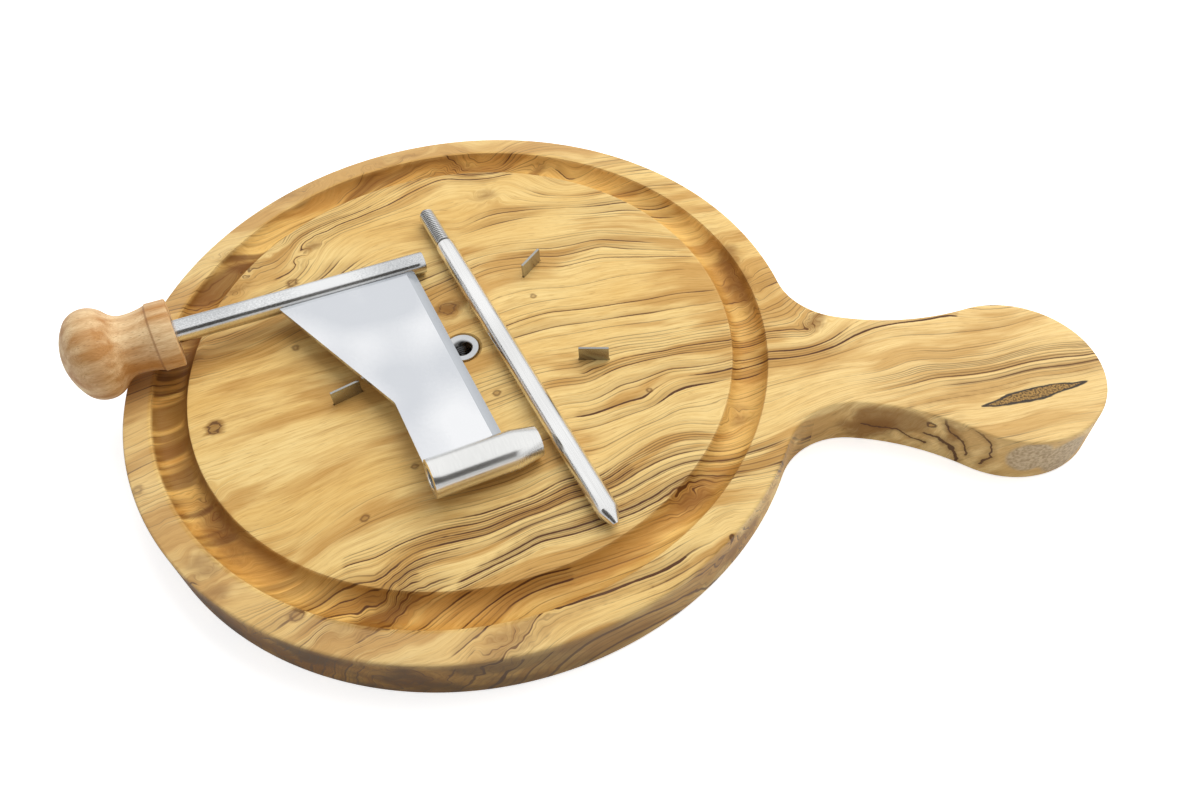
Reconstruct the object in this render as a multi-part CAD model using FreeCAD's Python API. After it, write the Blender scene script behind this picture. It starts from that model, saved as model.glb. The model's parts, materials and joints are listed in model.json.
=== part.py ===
# Cheese curler laid out on its board: an olive-wood paddle board with a threaded insert and three holding
# plates, a spindle, and a cranked scraper whose knob turns on the crank rod.
#
# Millimetres and degrees. The origin is on the insert's axis at the board's underside, +X runs along the
# handle and +Z is up. The scraper is drawn in its own frame (X along the hub towards its nose, Y from the
# hub to the crank rod, Z out of the blade's ground face) and is then laid on the board, where it rests on
# its hub, on the end of the crank rod and on the knob.
import FreeCAD
import Part

import math
import os

from FreeCAD import Placement, Rotation, Vector

# ---- Clearances -------------------------------------------------------------------------------------
RUNNING_CLEARANCE = 0.05       # radial, between a shaft and the bore it turns in
PRESS_CLEARANCE = 0.01         # per side, left round a piece that is pressed into its seat
BRAZE_GAP = 0.05               # per side, between the blade and its slots
REST_GAP = 0.2                 # between a piece that lies loose and the board
KNOB_REST_GAP = 1.2            # between the knob and the hand-sawn rim under it
END_FLOAT = 0.2                # axial play of the knob on the crank rod

# ---- Board ------------------------------------------------------------------------------------------
BOARD_THICKNESS = 20.0
BOARD_RADIUS = 114.8
BOARD_CENTRE = (1.0, -0.6)     # the hand-sawn round is not quite concentric with the groove
BOARD_EDGE_CHAMFER = 1.0       # round the top and the underside

GROOVE_OUTER_RADIUS = 105.0
GROOVE_WIDTH = 12.0
GROOVE_DEPTH = 5.0
GROOVE_CUTS = 6                # straight cuts that its round section is made in

HANDLE_END_CENTRE = (185.5, -1.7)
HANDLE_END_RADIUS = 29.8
HANDLE_WAIST_WIDTH = 37.2
HANDLE_WAIST_OFFSET = 0.6      # of the waist's middle from the X axis
HANDLE_WAIST_RADIUS = 82.0
HANDLE_NECK_RADIUS = 24.0      # between the round and the waist

# ---- Threaded insert --------------------------------------------------------------------------------
INSERT_DIAMETER = 12.0
INSERT_LENGTH = 12.5
INSERT_RECESS = 0.1            # of its face below the board's top
INSERT_EDGE_CHAMFER = 0.3
THREAD_DIAMETER = 6.0
THREAD_TAP_DIAMETER = 5.0
THREAD_MOUTH_DIAMETER = 7.8
THREAD_RUNOUT_DIAMETER = 6.6   # drilled in the wood under the insert
THREAD_RUNOUT_DEPTH = 3.0
INSERT_COUNTERSINK = 0.7       # of the wood's edge round the insert

# ---- Holding plates: distance from the spindle's axis, bearing, and turn off the radial line --------
HOLDING_PLATES = {
    "holding_plate_far": (43.8, 63.1, -2.1),
    "holding_plate_handle": (46.3, -4.1, 6.3),
    "holding_plate_near": (41.9, -145.4, 1.5),
}
PLATE_LENGTH = 10.2
PLATE_THICKNESS = 0.9
PLATE_STAND = 5.8              # height above the board
PLATE_SEAT_DEPTH = 6.0

# ---- Spindle ----------------------------------------------------------------------------------------
SPINDLE_DIAMETER = 7.0
SPINDLE_LENGTH = 156.0
SPINDLE_THREAD_LENGTH = 19.2
SPINDLE_SHOULDER_LENGTH = 1.2
SPINDLE_THREAD_CHAMFER = 0.6
SPINDLE_POINT_LENGTH = 5.1
SPINDLE_POINT_FLAT = 1.9
SPINDLE_START = (-23.6, 63.1)  # middle of the threaded end, over the board
SPINDLE_HEADING = -58.5

# ---- Scraper ----------------------------------------------------------------------------------------
HUB_DIAMETER = 12.8
HUB_NOSE_DIAMETER = 10.0
HUB_LENGTH = 35.6
HUB_TAPER_LENGTH = 8.0
HUB_END_CHAMFER = 0.3
AXIS_SPACING = 94.1            # from the hub's axis to the crank rod's

CRANK_ROD_DIAMETER = 8.0
CRANK_ROD_OVERHANG = 4.8       # past the cutting edge
CRANK_ROD_FREE_LENGTH = 33.8   # between the blade and the knob
CRANK_ROD_CHAMFER = 0.4

BLADE_THICKNESS = 1.5
BLADE_SETBACK = 9.0            # of the cutting edge from the hub's nose
BLADE_ROOT_LENGTH = 49.5       # along the crank rod
BLADE_KNEE_DISTANCE = 33.0     # from the hub's axis
BLADE_KNEE_RADIUS = 6.0
BLADE_BEVEL_WIDTH = 3.3
BLADE_EDGE_THICKNESS = 0.3
BLADE_SEAT_DEPTH = 1.2         # let into the hub and into the crank rod

SCRAPER_NOSE = (31.9, -42.4)   # middle of the hub's nose, over the board
SCRAPER_HEADING = 30.3

# ---- Knob -------------------------------------------------------------------------------------------
KNOB_LENGTH = 35.7
KNOB_COLLAR_DIAMETER = 23.4
KNOB_COLLAR_LENGTH = 6.5
KNOB_COLLAR_STEP = 0.5
KNOB_FACE_CHAMFER = 0.5
KNOB_WAIST_DIAMETER = 20.2
KNOB_WAIST_DISTANCE = 14.0     # from the collar's face
KNOB_BALL_DIAMETER = 31.0
KNOB_BALL_DISTANCE = 25.3      # from the collar's face to the widest part
KNOB_BALL_ARC_RADIUS = 8.0     # of the outline where it passes over the widest part
KNOB_CUT_LENGTH = 4.5          # longest straight cut that the outline's arcs are turned in
KNOB_BORE_CLEARANCE = 1.5      # left in the bore behind the end of the crank rod

BUSH_DIAMETER = 10.5
BUSH_LENGTH = 18.0
RING_THICKNESS = 0.8
RING_DIAMETER = 10.0
RING_SEAT_DIAMETER = 6.8       # bottom of the groove in the crank rod
RING_GROOVE_PLAY = 0.1         # the groove's extra width
RING_CLEARANCE = 0.05          # radial, between the ring and its groove
ROD_TAIL_LENGTH = 1.6          # of crank rod behind the ring's groove

PROFILE_SAMPLES = 90           # along the knob's outline, to find where it rests
ANGLE_SAMPLES = 48             # round the lower half of the knob


# ---- Drawing helpers --------------------------------------------------------------------------------
def line(start, end):
    return Part.LineSegment(start, end).toShape()


def arc(start, middle, end):
    return Part.Arc(start, middle, end).toShape()


def polar(centre, radius, toward):
    """The point of a circle that lies in the direction of another point."""
    return centre + (toward - centre).normalize() * radius


def short_arc(centre, radius, start, end):
    """The shorter arc of a circle between two of its points."""
    return arc(start, polar(centre, radius, (start + end) * 0.5), end)


def lathe(edges):
    """Turns a closed outline, drawn over the X axis, about that axis."""
    profile = Part.Face(Part.Wire(edges))
    return profile.revolve(Vector(0, 0, 0), Vector(1, 0, 0), 360)


def polyline(points):
    """The edges of a closed outline with straight sides."""
    corners = [Vector(x, y, 0) for x, y in points]
    return [line(corners[i - 1], corners[i]) for i in range(len(corners))]


def lathe_upright(points):
    """Turns a closed outline, given as heights and radii, about the Z axis."""
    turned = lathe(polyline(points))
    turned.Placement = Placement(Vector(0, 0, 0), Rotation(Vector(0, 1, 0), -90))
    return turned


def box(low, high):
    """A block between two corners."""
    size = [b - a for a, b in zip(low, high)]
    return Part.makeBox(size[0], size[1], size[2], Vector(*low))


def rod(radius, start, end, y=0.0):
    """A cylinder along X at the distance y from the X axis."""
    return Part.makeCylinder(radius, end - start, Vector(start, y, 0), Vector(1, 0, 0))


# ---- Board ------------------------------------------------------------------------------------------
def waist_arc_centre(side, end_centre):
    """Centre of the hollow arc on one side of the handle, tangent to the handle's round end."""
    y = HANDLE_WAIST_OFFSET + side * (HANDLE_WAIST_WIDTH / 2 + HANDLE_WAIST_RADIUS)
    reach = HANDLE_WAIST_RADIUS + HANDLE_END_RADIUS
    x = end_centre.x - math.sqrt(reach ** 2 - (y - end_centre.y) ** 2)
    return Vector(x, y, 0)


def neck_arc_centre(side, body_centre, waist_centre):
    """Centre of the fillet that is tangent to the round and runs into the hollow arc of the waist."""
    to_body = BOARD_RADIUS + HANDLE_NECK_RADIUS
    to_waist = HANDLE_WAIST_RADIUS - HANDLE_NECK_RADIUS
    span = waist_centre - body_centre
    distance = span.Length
    along = (to_body ** 2 - to_waist ** 2 + distance ** 2) / (2 * distance)
    across = math.sqrt(to_body ** 2 - along ** 2)
    forward = span * (1 / distance)
    outward = Vector(side * forward.y, -side * forward.x, 0)
    return body_centre + forward * along + outward * across


def handle_side(side, body_centre, end_centre):
    """The points where the arcs of one side meet, and its two hollow arcs, from the round outwards."""
    waist = waist_arc_centre(side, end_centre)
    neck = neck_arc_centre(side, body_centre, waist)
    on_body = polar(body_centre, BOARD_RADIUS, neck)
    neck_to_waist = waist + (neck - waist).normalize() * HANDLE_WAIST_RADIUS
    on_end = polar(end_centre, HANDLE_END_RADIUS, waist)
    neck_arc = short_arc(neck, HANDLE_NECK_RADIUS, on_body, neck_to_waist)
    waist_arc = short_arc(waist, HANDLE_WAIST_RADIUS, neck_to_waist, on_end)
    return on_body, on_end, [neck_arc, waist_arc]


def board_outline():
    """The paddle outline as a closed chain of tangent arcs."""
    body_centre = Vector(*BOARD_CENTRE, 0)
    end_centre = Vector(*HANDLE_END_CENTRE, 0)
    far_body, far_end, far_arcs = handle_side(1, body_centre, end_centre)
    near_body, near_end, near_arcs = handle_side(-1, body_centre, end_centre)
    back = body_centre - Vector(BOARD_RADIUS, 0, 0)
    tip = end_centre + Vector(HANDLE_END_RADIUS, 0, 0)
    round_arc = arc(near_body, back, far_body)
    end_arc = arc(far_end, tip, near_end)
    edges = [round_arc, *far_arcs, end_arc, *near_arcs]
    return Part.Wire(Part.__sortEdges__(edges))


def groove_section():
    """The groove's round section from the inner to the outer lip, as heights and radii."""
    cove = (GROOVE_WIDTH ** 2 / 4 + GROOVE_DEPTH ** 2) / (2 * GROOVE_DEPTH)
    middle = GROOVE_OUTER_RADIUS - GROOVE_WIDTH / 2
    centre_height = BOARD_THICKNESS - GROOVE_DEPTH + cove
    half_angle = math.atan2(GROOVE_WIDTH / 2, cove - GROOVE_DEPTH)
    section = []
    for i in range(GROOVE_CUTS + 1):
        angle = half_angle * (2 * i / GROOVE_CUTS - 1)
        section.append((centre_height - cove * math.cos(angle), middle + cove * math.sin(angle)))
    return section


def cut_groove(board):
    section = groove_section()
    above = BOARD_THICKNESS + GROOVE_DEPTH
    inner_radius = section[0][1]
    outer_radius = section[-1][1]
    return board.cut(lathe_upright([*section, (above, outer_radius), (above, inner_radius)]))


def insert_face_height():
    return BOARD_THICKNESS - INSERT_RECESS


def cut_insert_hole(board):
    """A stepped hole: the insert's seat, and under it the drilled run-out for the spindle's thread."""
    seat_radius = INSERT_DIAMETER / 2 + PRESS_CLEARANCE
    seat_bottom = insert_face_height() - INSERT_LENGTH
    seat = Part.makeCylinder(seat_radius, BOARD_THICKNESS - seat_bottom, Vector(0, 0, seat_bottom))
    runout_bottom = seat_bottom - THREAD_RUNOUT_DEPTH
    runout = Part.makeCylinder(THREAD_RUNOUT_DIAMETER / 2, THREAD_RUNOUT_DEPTH, Vector(0, 0, runout_bottom))
    sink_bottom = BOARD_THICKNESS - INSERT_COUNTERSINK
    sink_radius = seat_radius + INSERT_COUNTERSINK
    sink = Part.makeCone(seat_radius, sink_radius, INSERT_COUNTERSINK, Vector(0, 0, sink_bottom))
    return board.cut(seat.fuse([runout, sink]))


def standing_plate(name, length, thickness, bottom, top):
    """A block of the given section, stood at a holding plate's place."""
    distance, bearing, twist = HOLDING_PLATES[name]
    plate = box((-length / 2, -thickness / 2, bottom), (length / 2, thickness / 2, top))
    angle = math.radians(bearing)
    place = Vector(distance * math.cos(angle), distance * math.sin(angle), 0)
    plate.Placement = Placement(place, Rotation(Vector(0, 0, 1), bearing + twist))
    return plate


def make_board():
    board = Part.Face(board_outline()).extrude(Vector(0, 0, BOARD_THICKNESS))
    upright = [edge for edge in board.Edges if isinstance(edge.Curve, Part.Line)]
    rims = [edge for edge in board.Edges if not any(edge.isSame(other) for other in upright)]
    board = board.makeChamfer(BOARD_EDGE_CHAMFER, rims)
    board = cut_groove(board)
    board = cut_insert_hole(board)
    slot_bottom = BOARD_THICKNESS - PLATE_SEAT_DEPTH
    for name in HOLDING_PLATES:
        length = PLATE_LENGTH + 2 * PRESS_CLEARANCE
        thickness = PLATE_THICKNESS + 2 * PRESS_CLEARANCE
        board = board.cut(standing_plate(name, length, thickness, slot_bottom, BOARD_THICKNESS))
    return board


def make_threaded_insert():
    top = insert_face_height()
    bottom = top - INSERT_LENGTH
    radius = INSERT_DIAMETER / 2
    tap = THREAD_TAP_DIAMETER / 2
    mouth = THREAD_MOUTH_DIAMETER / 2
    profile = [
        (bottom, tap),
        (bottom, radius - INSERT_EDGE_CHAMFER),
        (bottom + INSERT_EDGE_CHAMFER, radius),
        (top - INSERT_EDGE_CHAMFER, radius),
        (top, radius - INSERT_EDGE_CHAMFER),
        (top, mouth),
        (top - (mouth - tap), tap),
    ]
    return lathe_upright(profile)


def make_holding_plate(name):
    bottom = BOARD_THICKNESS - PLATE_SEAT_DEPTH
    return standing_plate(name, PLATE_LENGTH, PLATE_THICKNESS, bottom, BOARD_THICKNESS + PLATE_STAND)


# ---- Spindle ----------------------------------------------------------------------------------------
def make_spindle():
    radius = SPINDLE_DIAMETER / 2
    thread = THREAD_DIAMETER / 2
    point_start = SPINDLE_LENGTH - SPINDLE_POINT_LENGTH
    profile = [
        (0, 0),
        (0, thread - SPINDLE_THREAD_CHAMFER),
        (SPINDLE_THREAD_CHAMFER, thread),
        (SPINDLE_THREAD_LENGTH, thread),
        (SPINDLE_THREAD_LENGTH + SPINDLE_SHOULDER_LENGTH, radius),
        (point_start, radius),
        (SPINDLE_LENGTH, SPINDLE_POINT_FLAT / 2),
        (SPINDLE_LENGTH, 0),
    ]
    spindle = lathe(polyline(profile))
    place = Vector(*SPINDLE_START, BOARD_THICKNESS + REST_GAP + radius)
    spindle.Placement = Placement(place, Rotation(Vector(0, 0, 1), SPINDLE_HEADING))
    return spindle


# ---- Scraper, in its own frame ----------------------------------------------------------------------
def crank_rod_end():
    return CRANK_ROD_OVERHANG - BLADE_SETBACK


def knob_face():
    """Where the knob's collar starts, along the crank rod."""
    return -BLADE_SETBACK - BLADE_ROOT_LENGTH - CRANK_ROD_FREE_LENGTH


def ring_groove():
    """The two ends, along X, of the groove that holds the retaining ring."""
    near = knob_face() - BUSH_LENGTH - END_FLOAT / 2
    return near - RING_THICKNESS - RING_GROOVE_PLAY, near


def crank_rod_tail():
    return ring_groove()[0] - ROD_TAIL_LENGTH


def blade_slot(hub_side):
    """The slot for one edge of the blade, milled along the hub or along the crank rod."""
    half = BLADE_THICKNESS / 2 + BRAZE_GAP
    end = BRAZE_GAP - BLADE_SETBACK
    if hub_side:
        bottom = HUB_DIAMETER / 2 - BLADE_SEAT_DEPTH - BRAZE_GAP
        return box((-HUB_LENGTH, bottom, -half), (end, HUB_DIAMETER, half))
    bottom = AXIS_SPACING - CRANK_ROD_DIAMETER / 2 + BLADE_SEAT_DEPTH + BRAZE_GAP
    start = -BLADE_SETBACK - BLADE_ROOT_LENGTH - BRAZE_GAP
    return box((start, AXIS_SPACING - CRANK_ROD_DIAMETER, -half), (end, bottom, half))


def make_hub():
    radius = HUB_DIAMETER / 2
    nose = HUB_NOSE_DIAMETER / 2
    bore = SPINDLE_DIAMETER / 2 + RUNNING_CLEARANCE
    profile = [
        (-HUB_LENGTH, bore),
        (-HUB_LENGTH, radius - HUB_END_CHAMFER),
        (-HUB_LENGTH + HUB_END_CHAMFER, radius),
        (-HUB_TAPER_LENGTH, radius),
        (-HUB_END_CHAMFER, nose),
        (0, nose - HUB_END_CHAMFER),
        (0, bore),
    ]
    return lathe(polyline(profile)).cut(blade_slot(hub_side=True))


def make_blade():
    """A flat sheet with a rounded knee, ground to a bevel along the edge that scrapes."""
    hub_edge = HUB_DIAMETER / 2 - BLADE_SEAT_DEPTH
    rod_edge = AXIS_SPACING - CRANK_ROD_DIAMETER / 2 + BLADE_SEAT_DEPTH
    corners = [
        (-BLADE_SETBACK, hub_edge),
        (-BLADE_SETBACK, rod_edge),
        (-BLADE_SETBACK - BLADE_ROOT_LENGTH, rod_edge),
        (-HUB_LENGTH, BLADE_KNEE_DISTANCE),
        (-HUB_LENGTH, hub_edge),
    ]
    sheet = Part.Face(Part.Wire(polyline(corners)))
    sheet.translate(Vector(0, 0, -BLADE_THICKNESS / 2))
    blade = sheet.extrude(Vector(0, 0, BLADE_THICKNESS))
    knee = Vector(-HUB_LENGTH, BLADE_KNEE_DISTANCE, 0)
    knee_edges = [edge for edge in blade.Edges if edge.CenterOfMass.sub(knee).Length < 1e-6]
    blade = blade.makeFillet(BLADE_KNEE_RADIUS, knee_edges)
    top = BLADE_THICKNESS / 2
    edge_top = BLADE_EDGE_THICKNESS - BLADE_THICKNESS / 2
    bevel_start = -BLADE_SETBACK - BLADE_BEVEL_WIDTH
    wedge = [Vector(bevel_start, 0, top), Vector(-BLADE_SETBACK, 0, top), Vector(-BLADE_SETBACK, 0, edge_top)]
    waste = Part.Face(Part.makePolygon(wedge + wedge[:1])).extrude(Vector(0, AXIS_SPACING, 0))
    return blade.cut(waste)


def make_crank_rod():
    radius = CRANK_ROD_DIAMETER / 2
    start = crank_rod_tail()
    end = crank_rod_end()
    groove_start, groove_end = ring_groove()
    seat = RING_SEAT_DIAMETER / 2
    profile = [
        (start, 0),
        (start, radius - CRANK_ROD_CHAMFER),
        (start + CRANK_ROD_CHAMFER, radius),
        (groove_start, radius),
        (groove_start, seat),
        (groove_end, seat),
        (groove_end, radius),
        (end - CRANK_ROD_CHAMFER, radius),
        (end, radius - CRANK_ROD_CHAMFER),
        (end, 0),
    ]
    crank_rod = lathe(polyline(profile))
    crank_rod.translate(Vector(0, AXIS_SPACING, 0))
    return crank_rod.cut(blade_slot(hub_side=False))


def make_rod_retaining_ring():
    groove_start, groove_end = ring_groove()
    middle = (groove_start + groove_end) / 2
    start = middle - RING_THICKNESS / 2
    end = middle + RING_THICKNESS / 2
    ring = rod(RING_DIAMETER / 2, start, end, AXIS_SPACING)
    return ring.cut(rod(RING_SEAT_DIAMETER / 2 + RING_CLEARANCE, start, end, AXIS_SPACING))


# ---- Knob, in the scraper's frame -------------------------------------------------------------------
def knob_outline():
    """The turned outside of the knob, from the collar's face to the end of the ball, as a list of edges."""
    face = knob_face()

    def at(distance, radius):
        return Vector(face - distance, radius, 0)

    collar = KNOB_COLLAR_DIAMETER / 2
    step = collar - KNOB_COLLAR_STEP
    step_end = KNOB_COLLAR_LENGTH + KNOB_COLLAR_STEP
    waist = KNOB_WAIST_DIAMETER / 2
    neck_length = KNOB_WAIST_DISTANCE - step_end
    neck_radius = (neck_length ** 2 + (step - waist) ** 2) / (2 * (step - waist))
    neck_centre = at(KNOB_WAIST_DISTANCE, waist + neck_radius)

    ball = KNOB_BALL_DIAMETER / 2
    ball_centre = at(KNOB_BALL_DISTANCE, ball - KNOB_BALL_ARC_RADIUS)
    swell_length = KNOB_BALL_DISTANCE - KNOB_WAIST_DISTANCE
    both_radii = (swell_length ** 2 + (ball - waist) ** 2) / (2 * (ball - waist))
    swell_radius = both_radii - KNOB_BALL_ARC_RADIUS
    swell_centre = at(KNOB_WAIST_DISTANCE, waist + swell_radius)
    swell_end = polar(ball_centre, KNOB_BALL_ARC_RADIUS, swell_centre)

    end_length = KNOB_LENGTH - KNOB_BALL_DISTANCE
    end_radius = (end_length ** 2 + ball ** 2 - 2 * ball * KNOB_BALL_ARC_RADIUS) \
        / (2 * (end_length - KNOB_BALL_ARC_RADIUS))
    end_centre = at(KNOB_LENGTH - end_radius, 0)
    end_start = end_centre + (ball_centre - end_centre).normalize() * end_radius
    widest = at(KNOB_BALL_DISTANCE, ball)
    return [
        line(at(0, collar - KNOB_FACE_CHAMFER), at(KNOB_FACE_CHAMFER, collar)),
        line(at(KNOB_FACE_CHAMFER, collar), at(KNOB_COLLAR_LENGTH, collar)),
        line(at(KNOB_COLLAR_LENGTH, collar), at(step_end, step)),
        short_arc(neck_centre, neck_radius, at(step_end, step), at(KNOB_WAIST_DISTANCE, waist)),
        short_arc(swell_centre, swell_radius, at(KNOB_WAIST_DISTANCE, waist), swell_end),
        short_arc(ball_centre, KNOB_BALL_ARC_RADIUS, swell_end, widest),
        short_arc(ball_centre, KNOB_BALL_ARC_RADIUS, widest, end_start),
        short_arc(end_centre, end_radius, end_start, at(KNOB_LENGTH, 0)),
    ]


def straight_cuts(edges):
    """An outline with its arcs as short straight cuts, which keeps the turned solid light."""
    cuts = []
    for edge in edges:
        is_line = isinstance(edge.Curve, Part.Line)
        count = 1 if is_line else math.ceil(edge.Length / KNOB_CUT_LENGTH)
        points = edge.discretize(Number=count + 1)
        cuts += [line(points[i], points[i + 1]) for i in range(count)]
    return cuts


def make_knob():
    face = knob_face()
    end = Vector(face - KNOB_LENGTH, 0, 0)
    collar_edge = Vector(face, KNOB_COLLAR_DIAMETER / 2 - KNOB_FACE_CHAMFER, 0)
    centre = Vector(face, 0, 0)
    knob = lathe([*straight_cuts(knob_outline()), line(end, centre), line(centre, collar_edge)])
    bore = rod(BUSH_DIAMETER / 2 + PRESS_CLEARANCE, crank_rod_tail() - KNOB_BORE_CLEARANCE, face)
    knob = knob.cut(bore)
    knob.translate(Vector(0, AXIS_SPACING, 0))
    return knob


def make_knob_bush():
    face = knob_face()
    start = face - BUSH_LENGTH
    bush = rod(BUSH_DIAMETER / 2, start, face, AXIS_SPACING)
    return bush.cut(rod(CRANK_ROD_DIAMETER / 2 + RUNNING_CLEARANCE, start, face, AXIS_SPACING))


# ---- How the scraper lies on the board --------------------------------------------------------------
def board_height(x, y):
    """Height of the board's top under a point, or None past the round's edge."""
    from_rim = BOARD_RADIUS - math.hypot(x - BOARD_CENTRE[0], y - BOARD_CENTRE[1])
    if from_rim < 0:
        return None
    if from_rim < BOARD_EDGE_CHAMFER:
        return BOARD_THICKNESS - BOARD_EDGE_CHAMFER + from_rim
    radius = math.hypot(x, y)
    section = groove_section()
    for (start, inner), (end, outer) in zip(section, section[1:]):
        if inner <= radius <= outer:
            return start + (end - start) * (radius - inner) / (outer - inner)
    return BOARD_THICKNESS


def scraper_axes(pitch):
    """The scraper's X, Y and Z axes and its origin, once it slopes down to its nose by a pitch in radians.

    The hub and the end of the crank rod rest on the board, which sets the slope across the scraper.
    """
    heading = math.radians(SCRAPER_HEADING)
    slope = math.cos(pitch)
    fall = math.sin(pitch)
    along = Vector(math.cos(heading) * slope, math.sin(heading) * slope, -fall)
    level = Vector(-math.sin(heading), math.cos(heading), 0)
    nose_height = HUB_NOSE_DIAMETER / 2 * slope
    shoulder_height = HUB_DIAMETER / 2 * slope - HUB_TAPER_LENGTH * fall
    hub_height = BOARD_THICKNESS + REST_GAP + max(nose_height, shoulder_height)
    rod_height = BOARD_THICKNESS + REST_GAP + CRANK_ROD_DIAMETER / 2 * slope
    rise = (rod_height - hub_height + crank_rod_end() * fall) / AXIS_SPACING
    roll = math.asin(rise / slope)
    across = level * math.cos(roll) + along.cross(level) * math.sin(roll)
    origin = Vector(*SCRAPER_NOSE, hub_height)
    return along, across, along.cross(across), origin


def knob_clearance(pitch, outline):
    """The least height of the knob's lower half over the board."""
    along, across, normal, origin = scraper_axes(pitch)
    least = KNOB_BALL_DIAMETER
    for x, radius in outline:
        middle = origin + along * x + across * AXIS_SPACING
        for i in range(ANGLE_SAMPLES + 1):
            angle = math.pi * i / ANGLE_SAMPLES
            point = middle + across * (radius * math.cos(angle)) - normal * (radius * math.sin(angle))
            floor = board_height(point.x, point.y)
            if floor is not None:
                least = min(least, point.z - floor)
    return least


def scraper_pose():
    """The placement in which the knob, too, just rests on the board."""
    points = Part.Wire(knob_outline()).discretize(Number=PROFILE_SAMPLES)
    outline = [(point.x, point.y) for point in points]
    low = 0.0
    high = math.radians(30)
    while high - low > 1e-5:
        pitch = (low + high) / 2
        if knob_clearance(pitch, outline) < KNOB_REST_GAP:
            low = pitch
        else:
            high = pitch
    along, across, normal, origin = scraper_axes(high)
    return Placement(origin, Rotation(along, across, normal, "XYZ"))


# ---- Assembly ---------------------------------------------------------------------------------------
def laid_out(shape, pose):
    """A copy of a scraper piece, moved from the scraper's frame to where it lies."""
    moved = shape.copy()
    moved.Placement = pose.multiply(moved.Placement)
    return moved


def build():
    nodes = {
        "board": make_board(),
        "threaded_insert": make_threaded_insert(),
        "spindle": make_spindle(),
    }
    for name in HOLDING_PLATES:
        nodes[name] = make_holding_plate(name)
    scraper = {
        "hub": make_hub(),
        "blade": make_blade(),
        "crank_rod": make_crank_rod(),
        "rod_retaining_ring": make_rod_retaining_ring(),
        "knob": make_knob(),
        "knob_bush": make_knob_bush(),
    }
    pose = scraper_pose()
    for name, shape in scraper.items():
        nodes[name] = laid_out(shape, pose)
    return nodes, pose


def main():
    os.makedirs("parts", exist_ok=True)
    nodes, pose = build()
    for name, shape in nodes.items():
        shape.exportStep(f"parts/{name}.step")
        print(f"{name}: {len(shape.Solids)} solid, {shape.Volume:.0f} mm3, valid {shape.isValid()}")
    nose = pose.Base
    along = pose.Rotation.multVec(Vector(1, 0, 0))
    face = pose.multVec(Vector(knob_face(), AXIS_SPACING, 0))
    print("hub nose", [round(v, 5) for v in nose], "hub axis", [round(v, 6) for v in along])
    print("knob face", [round(v, 5) for v in face])
    print("slope", round(math.degrees(math.asin(-along.z)), 3))


main()
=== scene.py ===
"""Cheese curler laid out on its olive-wood board: detailed meshes, finishes, light and camera.

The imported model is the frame. Sizes are in millimetres, coordinates are the board's, and every mesh is turned
to metres when it becomes an object.
"""

import json
import logging
import math
from dataclasses import dataclass, field
from enum import Enum

import bmesh
import bpy
import numpy as np
from bpy.types import Material, Mesh, Node, NodeTree, Object
from bpy.types import NodeSocket as Socket
from mathutils import Matrix, Vector
from mathutils.geometry import delaunay_2d_cdt


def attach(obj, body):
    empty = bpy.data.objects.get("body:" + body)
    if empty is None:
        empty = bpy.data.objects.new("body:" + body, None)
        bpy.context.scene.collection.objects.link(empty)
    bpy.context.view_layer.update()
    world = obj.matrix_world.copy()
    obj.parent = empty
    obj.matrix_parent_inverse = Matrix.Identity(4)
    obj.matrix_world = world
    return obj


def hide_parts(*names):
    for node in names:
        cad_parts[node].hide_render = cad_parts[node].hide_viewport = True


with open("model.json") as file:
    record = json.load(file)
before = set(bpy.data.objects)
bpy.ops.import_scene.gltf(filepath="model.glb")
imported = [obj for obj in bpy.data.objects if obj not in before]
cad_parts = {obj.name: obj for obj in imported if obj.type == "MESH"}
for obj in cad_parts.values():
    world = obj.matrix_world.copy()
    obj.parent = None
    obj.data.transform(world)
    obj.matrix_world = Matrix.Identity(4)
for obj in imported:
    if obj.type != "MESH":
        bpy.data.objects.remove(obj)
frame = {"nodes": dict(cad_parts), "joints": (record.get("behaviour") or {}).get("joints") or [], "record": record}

LOG = logging.getLogger("cheese_curler")
MM = 0.001
Points = np.ndarray


class Slot(Enum):
    """The record's material slots."""

    OLIVE = "olive_wood"
    BEECH = "beech"
    POLISHED = "steel_polished"
    TURNED = "steel_turned"


# ---- Shader helpers ---------------------------------------------------------------------------------
# The order of inputs: a ramp (MapRange) has its value, where it starts and ends, and what it gives at both
# places; a noise has its place, a fourth coordinate that isn't needed, its scale, detail and roughness.
SMOOTH = {"interpolation_type": "SMOOTHSTEP"}

# A mix of colours: its settings, the numbers of its inputs, and the number of its output.
COLOURS = {"data_type": "RGBA"}
TINTED = {"data_type": "RGBA", "blend_type": "MULTIPLY"}
SHARE, UNDER, OVER, MIXED = 0, 6, 7, 2


def linear(colour: str) -> tuple[float, float, float, float]:
    """Turns an sRGB hex colour into linear light.

    Args:
        colour: six hex digits after a hash sign.

    Returns:
        Red, green, blue and an alpha of one.
    """
    shares = [int(colour[i:i + 2], 16) / 255 for i in (1, 3, 5)]
    rgb = [c / 12.92 if c <= 0.04045 else ((c + 0.055) / 1.055) ** 2.4 for c in shares]
    return (*rgb, 1.0)


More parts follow.
